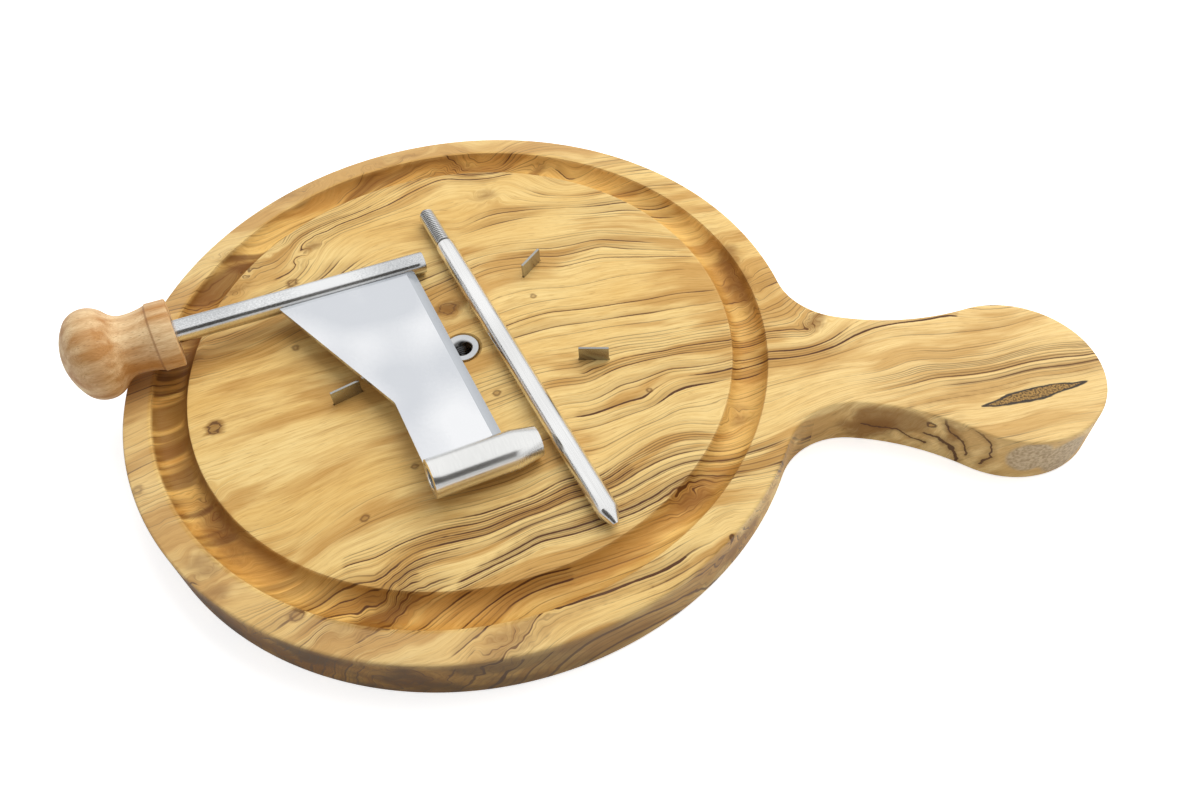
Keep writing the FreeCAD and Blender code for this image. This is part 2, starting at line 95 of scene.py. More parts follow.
def put(tree: NodeTree, kind: str, inputs: dict | tuple = (), out: int | str = 0,
        ramp: list[tuple[float, str]] | None = None, **settings: object) -> Socket:
    """Adds a shader node with its settings and links.

    Args:
        tree: the material's node tree.
        kind: the node's class name without its leading ShaderNode, then its operation, if it has one.
        inputs: values, sRGB colours or output sockets, in the inputs' order, or by input name or number. None
            leaves an input as it is.
        out: which output to return.
        ramp: stops of a colour ramp, as places and sRGB colours.
        settings: the node's own properties.

    Returns:
        The chosen output socket.
    """
    kind, _, operation = kind.partition(" ")
    node = tree.nodes.new("ShaderNode" + kind)
    if operation:
        node.operation = operation
    for name, value in settings.items():
        setattr(node, name, value)
    for place, value in inputs.items() if isinstance(inputs, dict) else enumerate(inputs):
        if isinstance(value, Socket):
            tree.links.new(value, node.inputs[place])
        elif value is not None:
            node.inputs[place].default_value = linear(value) if isinstance(value, str) else value
    if ramp:
        elements = node.color_ramp.elements
        while len(elements) < len(ramp):
            elements.new(0.5)
        for element, (place, colour) in zip(elements, ramp):
            element.position = place
            element.color = linear(colour)
    return node.outputs[out]


def new_material(name: str) -> tuple[Material, NodeTree, Node]:
    """Makes a material with one Principled shader.

    Args:
        name: the material's name.

    Returns:
        The material, its node tree and the shader node.
    """
    material = bpy.data.materials.new(name)
    material.use_nodes = True
    tree = material.node_tree
    return material, tree, tree.nodes["Principled BSDF"]


# ---- Olive wood -------------------------------------------------------------------------------------
# One growth line each: how strongly it shows, and the points it runs through on the board's top.
GROWTH_LINES = (
    (1.0, ((-72, 31), (-69, 38), (-70, 47), (-66, 53), (-58, 60), (-45, 69), (-31, 81), (-20, 89), (-5, 89),
           (3, 93))),
    (0.7, ((-112, 24), (-104, 32), (-95, 41), (-85, 43))),
    (0.6, ((-100, 55), (-88, 66), (-74, 78), (-60, 88), (-46, 99))),
    (0.8, ((-22, 104), (-18, 99), (-10, 97.5), (0, 98), (4, 106))),
    (0.8, ((24, 100), (30, 94), (27, 90))),
    (0.7, ((-10, 58), (10, 69), (30, 73), (51, 77))),
    (0.6, ((-10, 55), (12, 66), (40, 70), (58, 72))),
    (0.6, ((-8, 52), (15, 62), (40, 66), (62, 67))),
    (0.7, ((20, 52), (48, 59), (75, 57))),
    (0.7, ((0, 41), (20, 47), (45, 53), (72, 51))),
    (0.8, ((30, 40), (50, 46), (77, 47))),
    (0.7, ((7, 22), (22, 29), (37, 31), (55, 37), (75, 41))),
    (0.8, ((10, 8), (30, 18), (60, 24), (85, 30))),
    (0.9, ((45, -10), (70, 1), (92, 7), (118, 14), (122, 18), (121, 24))),
    (1.0, ((45, -28), (65, -20), (92, -6), (105, 0), (125, 5), (133, 11), (144, 16), (158, 19), (169, 23))),
    (0.7, ((38, -22), (55, -13), (72, -5), (95, 1))),
    (0.6, ((45, -42), (75, -24), (90, -20), (110, -12), (140, -3), (165, 4), (188, 11), (207, 19))),
    (0.66, ((50, -50), (88, -30), (105, -18), (150, 0), (187, 8), (212, 14))),
    (0.62, ((108, -23), (150, -5), (180, 3), (212, 11))),
    (0.66, ((112, -27), (135, -15), (160, -6), (210, 6))),
    (0.7, ((150, -19), (190, -6), (214, 1))),
    (0.6, ((165, -22), (195, -14), (214, -9))),
    (0.5, ((175, -28), (212, -18))),
    (0.9, ((-20, -85), (0, -75), (30, -62), (45, -52))),
    (0.9, ((-10, -90), (20, -70), (35, -62), (60, -48))),
    (0.9, ((15, -90), (35, -74), (55, -66), (82, -50))),
    (0.5, ((-88, -8), (-65, 7))),
    (0.5, ((-90, -14), (-60, 5))),
    (0.5, ((-73, -19), (-43, -5))),
    (0.6, ((-35, -86), (-15, -66), (-5, -60), (20, -52))),
    (0.4, ((-25, -50), (-10, -44))),
    (0.7, ((-62, 74), (-64, 84), (-61, 92), (-52, 95), (-43, 97), (-37, 103), (-30, 107))),
    (0.6, ((-93, 61), (-88, 66), (-85, 73), (-78, 74))),
    (0.8, ((-98, 18), (-92, 24), (-91, 31), (-90, 37), (-85, 38))),
    (0.8, ((-65, -94), (-62, -91), (-59, -88))),
    (0.8, ((-24, -101), (-22, -96), (-17, -95))),
    (0.8, ((-15, -102), (-13, -95), (-11, -93))),
    (0.9, ((-7, -103), (-4, -97), (0, -89))),
    (0.8, ((-27, -110), (-23, -106), (-22, -103))),
    (0.8, ((-13, -112), (-11, -108), (-7, -104))),
    (1.0, ((21, -118), (25, -115), (29, -111), (33, -106), (36, -103), (41, -97), (48, -93), (56, -90),
           (63, -86), (71, -83), (77, -79))),
    (0.9, ((17, -111), (20, -106), (24, -103))),
    (0.9, ((18, -102), (23, -96), (27, -92), (35, -87), (44, -84))),
    (0.8, ((4, -104), (10, -98), (14, -94), (16, -92))),
)

# Knots: place on the top, radius and how dark.
KNOTS = (
    (-75.8, -38.3, 2.9, 1), (-31.3, -102.2, 2.2, 0.8), (-93, -63.2, 1.7, 0.45), (-18.7, -69.5, 1.4, 0.6),
    (-67.7, 28.1, 2.2, 0.7), (15, -19.5, 1.3, 0.6), (65.4, -15.9, 1.2, 0.6), (22, 25.2, 1, 0.5),
    (-7, -50, 1.2, 0.5), (-58, -3, 1.4, 0.5), (92.5, -70, 0.9, 1), (-8, 18, 3.6, 0.7),
)

# Burls, where the lines crowd into a dark patch: place with its height, half-length, half-width, slope in
# degrees, force.
BURLS = (
    (-88, 43, 20, 12, 4.5, 25, 0.9), (-66, 44, 20, 9, 3, 70, 0.6),
    (-6, 18, 20, 7, 4.5, 30, 0.9), (94, 42, 18, 20, 5, 112, 0.8),
    (95, -22, 18, 6, 4, 20, 0.8), (82, -54, 18, 10, 5, 40, 0.8),
    (122, 18, 20, 7, 3.5, 60, 0.8), (-66, -72, 17, 16, 5, 130, 0.9),
    (-96, 2, 17, 18, 5, 95, 0.7), (-88, 24, 18, 9, 4, 60, 0.6),
    (-8, -101, 19, 13, 8, 55, 0.7), (-3, 78, 20, 6, 4, 20, 0.5),
    (30, -106, 18, 12, 4, 35, 0.8), (14, 98, 18, 6, 3, 50, 0.8),
    (-20, 100, 18, 12, 3, 10, 0.6), (-80, -84, 8, 30, 9, 130, 0.9),
    (-50, -104, 8, 24, 8, 155, 0.8), (2, -114, 9, 12, 8, 0, 0.7),
    (92, -64, 9, 16, 8, 50, 0.7), (139, -19, 8, 12, 5, 5, 0.7),
    (165, -25, 13, 5, 5, 0, 0.5),
    (-74, 84, 20, 20, 4.5, 42, 0.5), (-40, 101, 20, 20, 4, 22, 0.45),
    (-62, -90, 19, 15, 4.5, 130, 0.6), (-18, -107, 20, 10, 4.5, 50, 0.6),
)

# The lens of bark on the handle: place, slope in degrees, half-length and half-width.
BARK_POCKET = (191.0, -11.5, 19.0, 19.0, 2.1)

# Dark flames on the handle's near side: half-width, and points along X and up the side.
SIDE_FLAMES = (
    (0.35, ((156.6, 9.5), (161.0, 9.5), (165.0, 7.2), (168.0, 1.7))),
    (0.2, ((164.4, 20.9), (170.5, 19.3), (174.9, 16.2), (176.3, 9.6), (174.2, 4.4))),
    (0.2, ((136.0, 8.6), (142.3, 8.3), (147.8, 8.3), (153.8, 5.8), (157.4, 5.0))),
    (0.2, ((160.0, 20.0), (164.0, 14.0), (167.5, 12.0), (170.0, 6.0))),
)

# The brown patch beside them, with its half-sizes, and the knot at its end, with its radius.
SIDE_PATCH = ((145.5, 13.6), (12.5, 6.4))
SIDE_KNOT = ((157.2, 14.7), 1.2)

# Weathered patches on the handle's side: place with its height, and radius.
WEATHERED = ((188.0, -32.0, 12.0, 9.5), (200.0, -27.5, 9.0, 10.5))


class GrowthField:
    """A smooth field over the board whose whole-number levels are the wood's growth lines."""

    GRAIN_SLOPE = math.radians(20)  # of the grain to the handle's axis
    LINE_PITCH = 4.5                # usual distance between lines
    REACH = 150.0                   # scale that the coordinates are divided by
    DEGREE = 5                      # of the first, rough fit
    DRIFT = np.array((0.05, -0.4))  # sideways shift of the lines for each unit of depth
    STIFFNESS = 0.002               # how much the fit may miss a point to stay smooth
    LINE_REACH = 5.0                # how far a line's strength spreads to either side
    GRID_STEP = 20.0                # of the points that hold the rough fit to the grain's slope
    PULL = 0.12                     # how strongly they do so
    DAMPING = 0.15                  # how strongly the rough fit's terms are kept small
    FLATTEST = 0.06                 # levels a millimetre, at the least
    USUAL = 0.6                     # strength away from the named lines
    PLAIN_LOSS = 0.54               # how much of that the plain left half loses
    PLAIN_PLACE = (-46, -42)
    PLAIN_SIZE = (46, 38)
    BURL_DEPTH = 9.0                # how far a burl reaches up and down
    WEATHERED_TOP = 19.2            # the weathered patches end here, under the rounded rim

    def __init__(self) -> None:
        """Orders the growth lines into levels and fits a thin plate through them."""
        self.points = np.array([p for _, line in GROWTH_LINES for p in line], float)
        owner = np.array([k for k, (_, line) in enumerate(GROWTH_LINES) for _ in line])
        heights = self._rough_heights(owner)
        order = np.argsort(heights)
        level = np.zeros(len(GROWTH_LINES))
        for before, after in zip(order, order[1:]):
            steps = round((heights[after] - heights[before]) / self.LINE_PITCH)
            level[after] = level[before] + max(1, steps)
        count = len(self.points)
        system = np.zeros((count + 3, count + 3))
        system[:count, :count] = self._kernel(self.points) + self.STIFFNESS * np.eye(count)
        system[:count, count] = 1
        system[:count, count + 1:] = self.points / self.REACH
        system[count:, :count] = system[:count, count:].T
        self.weights = np.linalg.solve(system, np.concatenate([level[owner], np.zeros(3)]))

    def _terms(self, places: Points) -> Points:
        """Works out the rough fit's polynomial terms.

        Args:
            places: points on the top.

        Returns:
            One row of terms a point.
        """
        x, y = (places / self.REACH).T
        powers = [(i, j) for i in range(self.DEGREE + 1) for j in range(self.DEGREE + 1 - i)]
        return np.stack([x ** i * y ** j for i, j in powers], 1)

    def _rough_heights(self, owner: Points) -> Points:
        """Finds how high across the grain each line lies.

        Args:
            owner: the line that each point belongs to.

        Returns:
            One height a line, in millimetres across the grain.
        """
        rows = [np.arange(-110, end, self.GRID_STEP) for end in (220, 115)]
        grid = np.stack(np.meshgrid(*rows), -1).reshape(-1, 2)
        on_round = np.hypot(grid[:, 0], grid[:, 1]) < 115
        on_handle = (grid[:, 0] > 0) & (abs(grid[:, 1]) < 30)
        grid = grid[on_round | on_handle]
        across = grid[:, 1] * math.cos(self.GRAIN_SLOPE) - grid[:, 0] * math.sin(self.GRAIN_SLOPE)
        terms = self._terms(self.points)
        wide = terms.shape[1]
        lines = len(GROWTH_LINES)
        on_line = np.hstack([terms, -np.eye(lines)[owner]])
        to_grid = np.hstack([self._terms(grid), np.zeros((len(grid), lines))]) * self.PULL
        small = np.eye(wide, wide + lines) * self.DAMPING
        target = np.concatenate([np.zeros(len(terms)), across * self.PULL, np.zeros(wide)])
        return np.linalg.lstsq(np.vstack([on_line, to_grid, small]), target, rcond=None)[0][wide:]

    def _kernel(self, places: Points) -> Points:
        """Thin-plate kernel between places and the lines' points."""
        apart = ((places[:, None] - self.points[None]) ** 2).sum(-1) / self.REACH ** 2
        return 0.5 * apart * np.log(np.maximum(apart, 1e-9))

    def level(self, places: Points, depth: Points) -> Points:
        """Finds the growth level.

        Args:
            places: points on the top.
            depth: how far under each of them.

        Returns:
            One level a point; the growth lines run where it is whole.
        """
        shifted = places + depth[:, None] * self.DRIFT
        count = len(self.points)
        return self._kernel(shifted) @ self.weights[:count] + self.weights[count] \
            + shifted / self.REACH @ self.weights[count + 1:]

    def spacing(self, places: Points, depth: Points) -> Points:
        """Finds how far apart neighbouring levels lie.

        Args:
            places: points on the top.
            depth: how far under each of them.

        Returns:
            Millimetres from one level to the next.
        """
        half_step = 0.5
        slope = []
        for side in ((half_step, 0), (0, half_step)):
            rise = self.level(places + np.array(side), depth) - self.level(places - np.array(side), depth)
            slope.append(rise / (2 * half_step))
        return 1 / np.maximum(np.hypot(*slope), self.FLATTEST)

    def strength(self, places: Points) -> Points:
        """Finds how strongly lines show: high along the named lines, faint in the plain left half.

        Args:
            places: points on the top.

        Returns:
            The strength, from nought to one.
        """
        off_plain = (places - self.PLAIN_PLACE) / self.PLAIN_SIZE
        plain = np.exp(-off_plain[:, 0] ** 2 - off_plain[:, 1] ** 2)
        best = self.USUAL - self.PLAIN_LOSS * plain
        for strong, line in GROWTH_LINES:
            line = np.array(line, float)
            for start, end in zip(line, line[1:]):
                run = end - start
                along = np.clip((places - start) @ run / (run @ run), 0, 1)
                away = np.linalg.norm(places - start - along[:, None] * run, axis=1)
                best = np.maximum(best, strong * np.exp(-(away / self.LINE_REACH) ** 2))
        return best

    def burl(self, places: Points) -> Points:
        """Finds how far each point lies in a burl.

        Args:
            places: points in the board, with their heights.

        Returns:
            The share, from nought to one.
        """
        best = np.zeros(len(places))
        for x, y, z, half_length, half_width, slope, force in BURLS:
            offset = places - (x, y, z)
            turn_by = math.radians(slope)
            along = offset[:, 0] * math.cos(turn_by) + offset[:, 1] * math.sin(turn_by)
            across = offset[:, 1] * math.cos(turn_by) - offset[:, 0] * math.sin(turn_by)
            upward = offset[:, 2] / self.BURL_DEPTH
            away = (along / half_length) ** 2 + (across / half_width) ** 2 + upward ** 2
            best = np.maximum(best, force * np.exp(-away))
        return best

    def weathered(self, places: Points) -> Points:
        """Finds how far each point lies in a weathered patch.

        Args:
            places: points in the board, with their heights.

        Returns:
            The share, from nought to one.
        """
        shares = []
        for x, y, z, radius in WEATHERED:
            away = np.linalg.norm(places - (x, y, z), axis=1)
            shares.append(np.exp(-((away / radius) ** 2)))
        return np.max(shares, axis=0) * (places[:, 2] < self.WEATHERED_TOP)


@dataclass(frozen=True)
class WoodInputs:
    """What every step of the olive wood's finish reads from the board."""

    tree: NodeTree
    millimetres: Socket             # places in the board's frame
    x: Socket                       # along the handle
    y: Socket                       # across the handle
    z: Socket                       # upward
    radius: Socket                  # from the board's middle
    grain: Socket                   # the places turned to the grain and drawn out along it
    grown: dict[str, Socket]        # the growth values that the mesh carries, by name


@dataclass(frozen=True)
class LineSet:
    """One set of growth lines: those at whole levels, or finer ones between them."""

    copies: int                     # lines to a level
    base_width: float               # millimetres
    spread: float                   # how much wider the luckiest line is, in millimetres
    force: float                    # how dark they are
    shade: float                    # how strong the brown shade beside them is
    reach: float                    # how far that shade reaches at most, in millimetres


@dataclass(frozen=True)
class OiledOlive:
    """Olive wood, sanded and oiled: honey ground, thin dark growth lines with a brown shade on one side."""

    pale: str = "#FBDB94"
    honey: str = "#F0C77A"
    cloud: str = "#D2A25A"
    tan: str = "#B58038"
    shade: str = "#8E5F26"
    line: str = "#593820"
    pore: str = "#A8783E"
    fibre: str = "#DCC79C"
    handle: str = "#FFDE9C"
    bark: tuple[str, str] = ("#5E4A2E", "#B48C50")
    bark_outline: str = "#33302F"
    # The groove's warm tint is partly oil, partly painted shade; the dark colour below is staining and painted
    # shade.
    in_groove: str = "#FFF2D6"
    groove_stain_and_shade: str = "#66390F"
    dry_rim: str = "#DCBB92"
    # The side's grey tint is partly its own tone, partly painted shade; the dark side patches are scaled by that
    # shade.
    on_side: str = "#BBA67E"
    dark_side_patch: str = "#5B452C"
    bleached: tuple[str, str] = ("#AE9270", "#D6C09C")
    grain_slope: float = 20.0       # degrees
    fibre_width: float = 0.45       # mm, drawn coarser than the real 0.05 so that it shows
    fibre_reach: float = 0.35       # cells a millimetre along the grain
    pore_width: float = 0.3         # mm, drawn coarser than the real 0.1
    pore_reach: float = 0.7
    wanders: tuple[tuple[float, float], ...] = ((0.045, 3.6), (0.14, 1.0), (0.6, 0.3))  # cells a mm, mm aside
    swirl: float = 11.0             # levels that a burl's lines swirl by
    line_sets: tuple[LineSet, ...] = (LineSet(1, 0.16, 0.3, 1.0, 0.42, 6.0),
                                      LineSet(3, 0.08, 0.16, 0.6, 0.1, 1.5))
    line_softness: float = 0.2      # mm over which a line's edge fades
    roughness: float = 0.42
    line_gloss: float = 0.08        # how much less rough the resin in the dark lines is
    specular: float = 0.25
    bump_height: float = 0.00008    # metres

    def build(self) -> Material:
        """Makes the material from the growth values that the board's mesh carries.

        Returns:
            The material.
        """
        material, tree, shader = new_material("oiled_olive")
        wood = self._read(tree)
        level = self._wandering_level(wood)
        fibres = self._streaks(wood, level, self.fibre_reach, self.fibre_width, 3.0)
        colour = self._ground(wood, level, fibres)
        colour, dark = self._lines(wood, level, colour)
        for step in (self._burls, self._knots, self._bark_pocket, self._groove_and_rim, self._side,
                     self._side_figure, self._weathering):
            colour = step(wood, colour)
        tree.links.new(colour, shader.inputs["Base Color"])
        rough = put(tree, "Math MULTIPLY_ADD", (dark, -self.line_gloss, self.roughness))
        tree.links.new(rough, shader.inputs["Roughness"])
        shader.inputs["Specular IOR Level"].default_value = self.specular
        sunk = put(tree, "Math MULTIPLY", (dark, 0.35))
        height = put(tree, "Math SUBTRACT", (fibres, sunk))
        bump = put(tree, "Bump", {"Strength": 0.1, "Distance": self.bump_height, "Height": height})
        tree.links.new(bump, shader.inputs["Normal"])
        return material

    def _read(self, tree: NodeTree) -> WoodInputs:
        """Adds the nodes that read places and growth values.

        Args:
            tree: the material's node tree.

        Returns:
            Their outputs.
        """
        place = put(tree, "TexCoord", out="Object")
        millimetres = put(tree, "VectorMath SCALE", {0: place, "Scale": 1 / MM})
        x, y, z = put(tree, "SeparateXYZ", (millimetres,)).node.outputs
        flat = put(tree, "CombineXYZ", (x, y))
        radius = put(tree, "VectorMath LENGTH", (flat,), "Value")
        slope = (0, 0, -math.radians(self.grain_slope))
        turned = put(tree, "Mapping", {"Vector": millimetres, "Rotation": slope})
        grain = put(tree, "VectorMath MULTIPLY", (turned, (0.3, 1.0, 0.8)))
        names = ("level", "spacing", "strength", "burl", "side", "weathered")
        grown = {name: put(tree, "Attribute", out="Fac", attribute_name=name) for name in names}
        return WoodInputs(tree, millimetres, x, y, z, radius, grain, grown)

    def _wandering_level(self, wood: WoodInputs) -> Socket:
        """Lets the growth level wander a little, and swirl in the burls.

        Args:
            wood: what the board gives.

        Returns:
            The growth level that the lines are drawn at.
        """
        tree = wood.tree
        level = wood.grown["level"]
        for scale, reach in self.wanders:
            wander = put(tree, "TexNoise", (wood.grain, None, scale, 2.0, 0.55))
            wander = put(tree, "Math SUBTRACT", (wander, 0.5))
            wander = put(tree, "Math MULTIPLY", (wander, reach))
            wander = put(tree, "Math DIVIDE", (wander, wood.grown["spacing"]))
            level = put(tree, "Math ADD", (level, wander))
        swirl = put(tree, "TexNoise", (wood.millimetres, None, 0.09, 2.0, 0.55))
        swirl = put(tree, "Math SUBTRACT", (swirl, 0.5))
        swirl = put(tree, "Math MULTIPLY", (swirl, self.swirl))
        return put(tree, "Math MULTIPLY_ADD", (swirl, wood.grown["burl"], level))

    def _streaks(self, wood: WoodInputs, level: Socket, reach: float, width: float, detail: float) -> Socket:
        """Adds noise in streaks that follow the growth lines.

        Args:
            wood: what the board gives.
            level: the growth level.
            reach: cells a millimetre along the grain.
            width: millimetres that a streak is wide.
            detail: how many finer layers it has.

        Returns:
            The noise, from nought to one.
        """
        tree = wood.tree
        x, _, z = put(tree, "SeparateXYZ", (wood.grain,)).node.outputs
        along = put(tree, "Math MULTIPLY", (x, reach))
        across = put(tree, "Math MULTIPLY", (level, GrowthField.LINE_PITCH / width))
        deep = put(tree, "Math MULTIPLY", (z, reach))
        streak = put(tree, "CombineXYZ", (along, across, deep))
        return put(tree, "TexNoise", (streak, None, 1.0, detail, 0.6))

    def _ground(self, wood: WoodInputs, level: Socket, fibres: Socket) -> Socket:
        """Draws the ground: clouds, tan bands along the growth lines, pores and fine fibres.

        Args:
            wood: what the board gives.
            level: the growth level.
            fibres: the noise of the fibres.

        Returns:
            The colour under the growth lines.
        """
        tree = wood.tree
        clouds = put(tree, "TexNoise", (wood.grain, None, 0.04, 4.0, 0.55))
        colour = put(tree, "ValToRGB", (clouds,), ramp=[(0.36, self.honey), (0.6, self.pale)])
        layers = [(put(tree, "MapRange", (wood.x, 70.0, 160.0, 0.0, 0.6), **SMOOTH), self.handle)]
        for reach, width, low, high, share, tint in (
                (0.05, 13.0, 0.47, 0.6, 0.85, self.cloud), (0.09, 2.4, 0.52, 0.7, 0.35, self.tan)):
            band = self._streaks(wood, level, reach, width, 3.0)
            layers.append((put(tree, "MapRange", (band, low, high, 0.0, share), **SMOOTH), tint))
        layers.append((put(tree, "MapRange", (wood.x, 100.0, 160.0, 0.0, 0.3), **SMOOTH), self.handle))
        pores = self._streaks(wood, level, self.pore_reach, self.pore_width, 1.0)
        layers.append((put(tree, "MapRange", (pores, 0.62, 0.76, 0.0, 0.4), **SMOOTH), self.pore))
        for share, tint in layers:
            colour = put(tree, "Mix", {SHARE: share, UNDER: colour, OVER: tint}, MIXED, **COLOURS)
        streaked = put(tree, "ValToRGB", (fibres,), ramp=[(0.3, self.fibre), (0.6, "#FFFFFF")])
        return put(tree, "Mix", {SHARE: 0.5, UNDER: colour, OVER: streaked}, MIXED, **TINTED)

    def _line_strength(self, wood: WoodInputs) -> Socket:
        """Finds how strongly lines show: more in burls and on sides, less on the handle's side.

        Args:
            wood: what the board gives.

        Returns:
            The strength, from nought to one.
        """
        tree = wood.tree
        burl = wood.grown["burl"]
        side = wood.grown["side"]
        strength = put(tree, "Math MAXIMUM", (wood.grown["strength"], burl))
        on_side = put(tree, "MapRange", (wood.x, 90.0, 130.0, 0.75, 0.35), **SMOOTH)
        on_side = put(tree, "Math MULTIPLY", (side, on_side))
        strength = put(tree, "Math MAXIMUM", (strength, on_side))
        on_handle = put(tree, "Math GREATER_THAN", (wood.x, 120.0))
        calm = put(tree, "Math MULTIPLY", (side, 0.7))
        calm = put(tree, "Math MULTIPLY", (on_handle, calm))
        kept = put(tree, "Math SUBTRACT", (1.0, calm))
        kept = put(tree, "Math MAXIMUM", (kept, burl))
        return put(tree, "Math MULTIPLY", (strength, kept))

    def _lines(self, wood: WoodInputs, level: Socket, colour: Socket) -> tuple[Socket, Socket]:
        """Draws the growth lines and the shade beside them.

        Args:
            wood: what the board gives.
            level: the growth level, with its small wander.
            colour: the colour under the lines.

        Returns:
            The colour with its lines, and how dark the lines are.
        """
        tree = wood.tree
        patchy = put(tree, "TexNoise", (wood.grain, None, 0.05, 2.0, 0.55))
        patchy = put(tree, "MapRange", (patchy, 0.4, 0.58, 0.1, 1.0), **SMOOTH)
        strength = self._line_strength(wood)
        named = put(tree, "MapRange", (strength, 0.56, 0.82), **SMOOTH)
        bold = put(tree, "MapRange", (strength, 0.84, 0.98, 1.0, 1.8), **SMOOTH)
        allowed = put(tree, "MapRange", (strength, 0.05, 0.6, 0.1, 1.0), **SMOOTH)
        dark: Socket | float = 0.0
        for lines in self.line_sets:
            finer = put(tree, "Math MULTIPLY", (level, float(lines.copies)))
            width = put(tree, "Math DIVIDE", (wood.grown["spacing"], float(lines.copies)))
            before = put(tree, "Math FLOOR", (finer,))
            nearest = put(tree, "Math ROUND", (finer,))
            always = put(tree, "Math MULTIPLY", (named, lines.force))
            chances, shown = [], []
            for number in (before, nearest):
                seed = put(tree, "Math ADD", (number, 7.3 * lines.copies))
                chance = put(tree, "TexWhiteNoise", {"W": seed}, noise_dimensions="1D")
                luck = put(tree, "MapRange", (chance, 0.3, 0.85, 0.0, 0.9), **SMOOTH)
                luck = put(tree, "Math MULTIPLY", (luck, patchy))
                shows = put(tree, "Math MAXIMUM", (luck, always))
                chances.append(chance)
                shown.append(put(tree, "Math MULTIPLY", (shows, allowed)))
            past = put(tree, "Math SUBTRACT", (finer, before))
            past = put(tree, "Math MULTIPLY", (past, width))
            fade = put(tree, "Math MULTIPLY_ADD", (chances[0], lines.reach, 0.5))
            beside = put(tree, "MapRange", (past, 0.0, fade, 1.0, 0.0), **SMOOTH)
            beside = put(tree, "Math MULTIPLY", (beside, shown[0]))
            beside = put(tree, "Math MULTIPLY", (beside, lines.shade))
            colour = put(tree, "Mix", {SHARE: beside, UNDER: colour, OVER: self.shade}, MIXED, **COLOURS)
            thick = put(tree, "Math MULTIPLY_ADD", (chances[1], lines.spread, lines.base_width))
            thick = put(tree, "Math MULTIPLY", (thick, shown[1]))
            half = put(tree, "Math MULTIPLY", (thick, 0.5))
            half = put(tree, "Math MULTIPLY", (half, bold))
            edge = put(tree, "Math ADD", (half, self.line_softness))
            away = put(tree, "Math SUBTRACT", (finer, nearest))
            away = put(tree, "Math ABSOLUTE", (away,))
            away = put(tree, "Math MULTIPLY", (away, width))
            line = put(tree, "MapRange", (away, half, edge, 1.0, 0.0), **SMOOTH)
            line = put(tree, "Math MULTIPLY", (line, shown[1]))
            line = put(tree, "Math MULTIPLY", (line, lines.force))
            dark = put(tree, "Math MAXIMUM", (dark, line))
        colour = put(tree, "Mix", {SHARE: dark, UNDER: colour, OVER: self.line}, MIXED, **COLOURS)
        return colour, dark

    def _burls(self, wood: WoodInputs, colour: Socket) -> Socket:
        """Darkens the burls, with uneven edges and streaks inside.

        Args:
            wood: what the board gives.
            colour: the colour so far.

        Returns:
            The colour with its burls.
        """
        tree = wood.tree
        burl = wood.grown["burl"]
        uneven = put(tree, "TexNoise", (wood.grain, None, 0.16, 3.0, 0.55))
        uneven = put(tree, "Math SUBTRACT", (uneven, 0.5))
        share = put(tree, "Math MULTIPLY_ADD", (uneven, 1.6, burl))
        share = put(tree, "MapRange", (share, 0.15, 0.8, 0.0, 0.75), **SMOOTH)
        inside_burl = put(tree, "MapRange", (burl, 0.02, 0.3), **SMOOTH)
        share = put(tree, "Math MULTIPLY", (share, inside_burl))
        return put(tree, "Mix", {SHARE: share, UNDER: colour, OVER: self.shade}, MIXED, **COLOURS)

    def _knots(self, wood: WoodInputs, colour: Socket) -> Socket:
        """Draws each knot as an uneven dark ring round a brown heart.

        Args:
            wood: what the board gives.
            colour: the colour so far.

        Returns:
            The colour with its knots.
        """
        tree = wood.tree
        uneven = put(tree, "TexNoise", (wood.grain, None, 0.7, 3.0, 0.55))
        uneven = put(tree, "Math SUBTRACT", (uneven, 0.5))
        squeezed = put(tree, "VectorMath MULTIPLY", (wood.millimetres, (1, 1, 0.25)))
        for x, y, radius, force in KNOTS:
            away = put(tree, "VectorMath DISTANCE", (squeezed, (x, y, 5.0)), "Value")
            wobble = put(tree, "Math MULTIPLY", (uneven, radius * 1.6))
            away = put(tree, "Math ADD", (away, wobble))
            heart = put(tree, "MapRange", (away, radius * 0.8, radius * 1.5, force * 0.75, 0.0), **SMOOTH)
            off_ring = put(tree, "Math SUBTRACT", (away, radius * 0.7))
            off_ring = put(tree, "Math ABSOLUTE", (off_ring,))
            ring = put(tree, "MapRange", (off_ring, 0.12, 0.6, 0.8 * force, 0.0), **SMOOTH)
            for share, tint in ((heart, self.shade), (ring, self.line)):
                colour = put(tree, "Mix", {SHARE: share, UNDER: colour, OVER: tint}, MIXED, **COLOURS)
        return colour

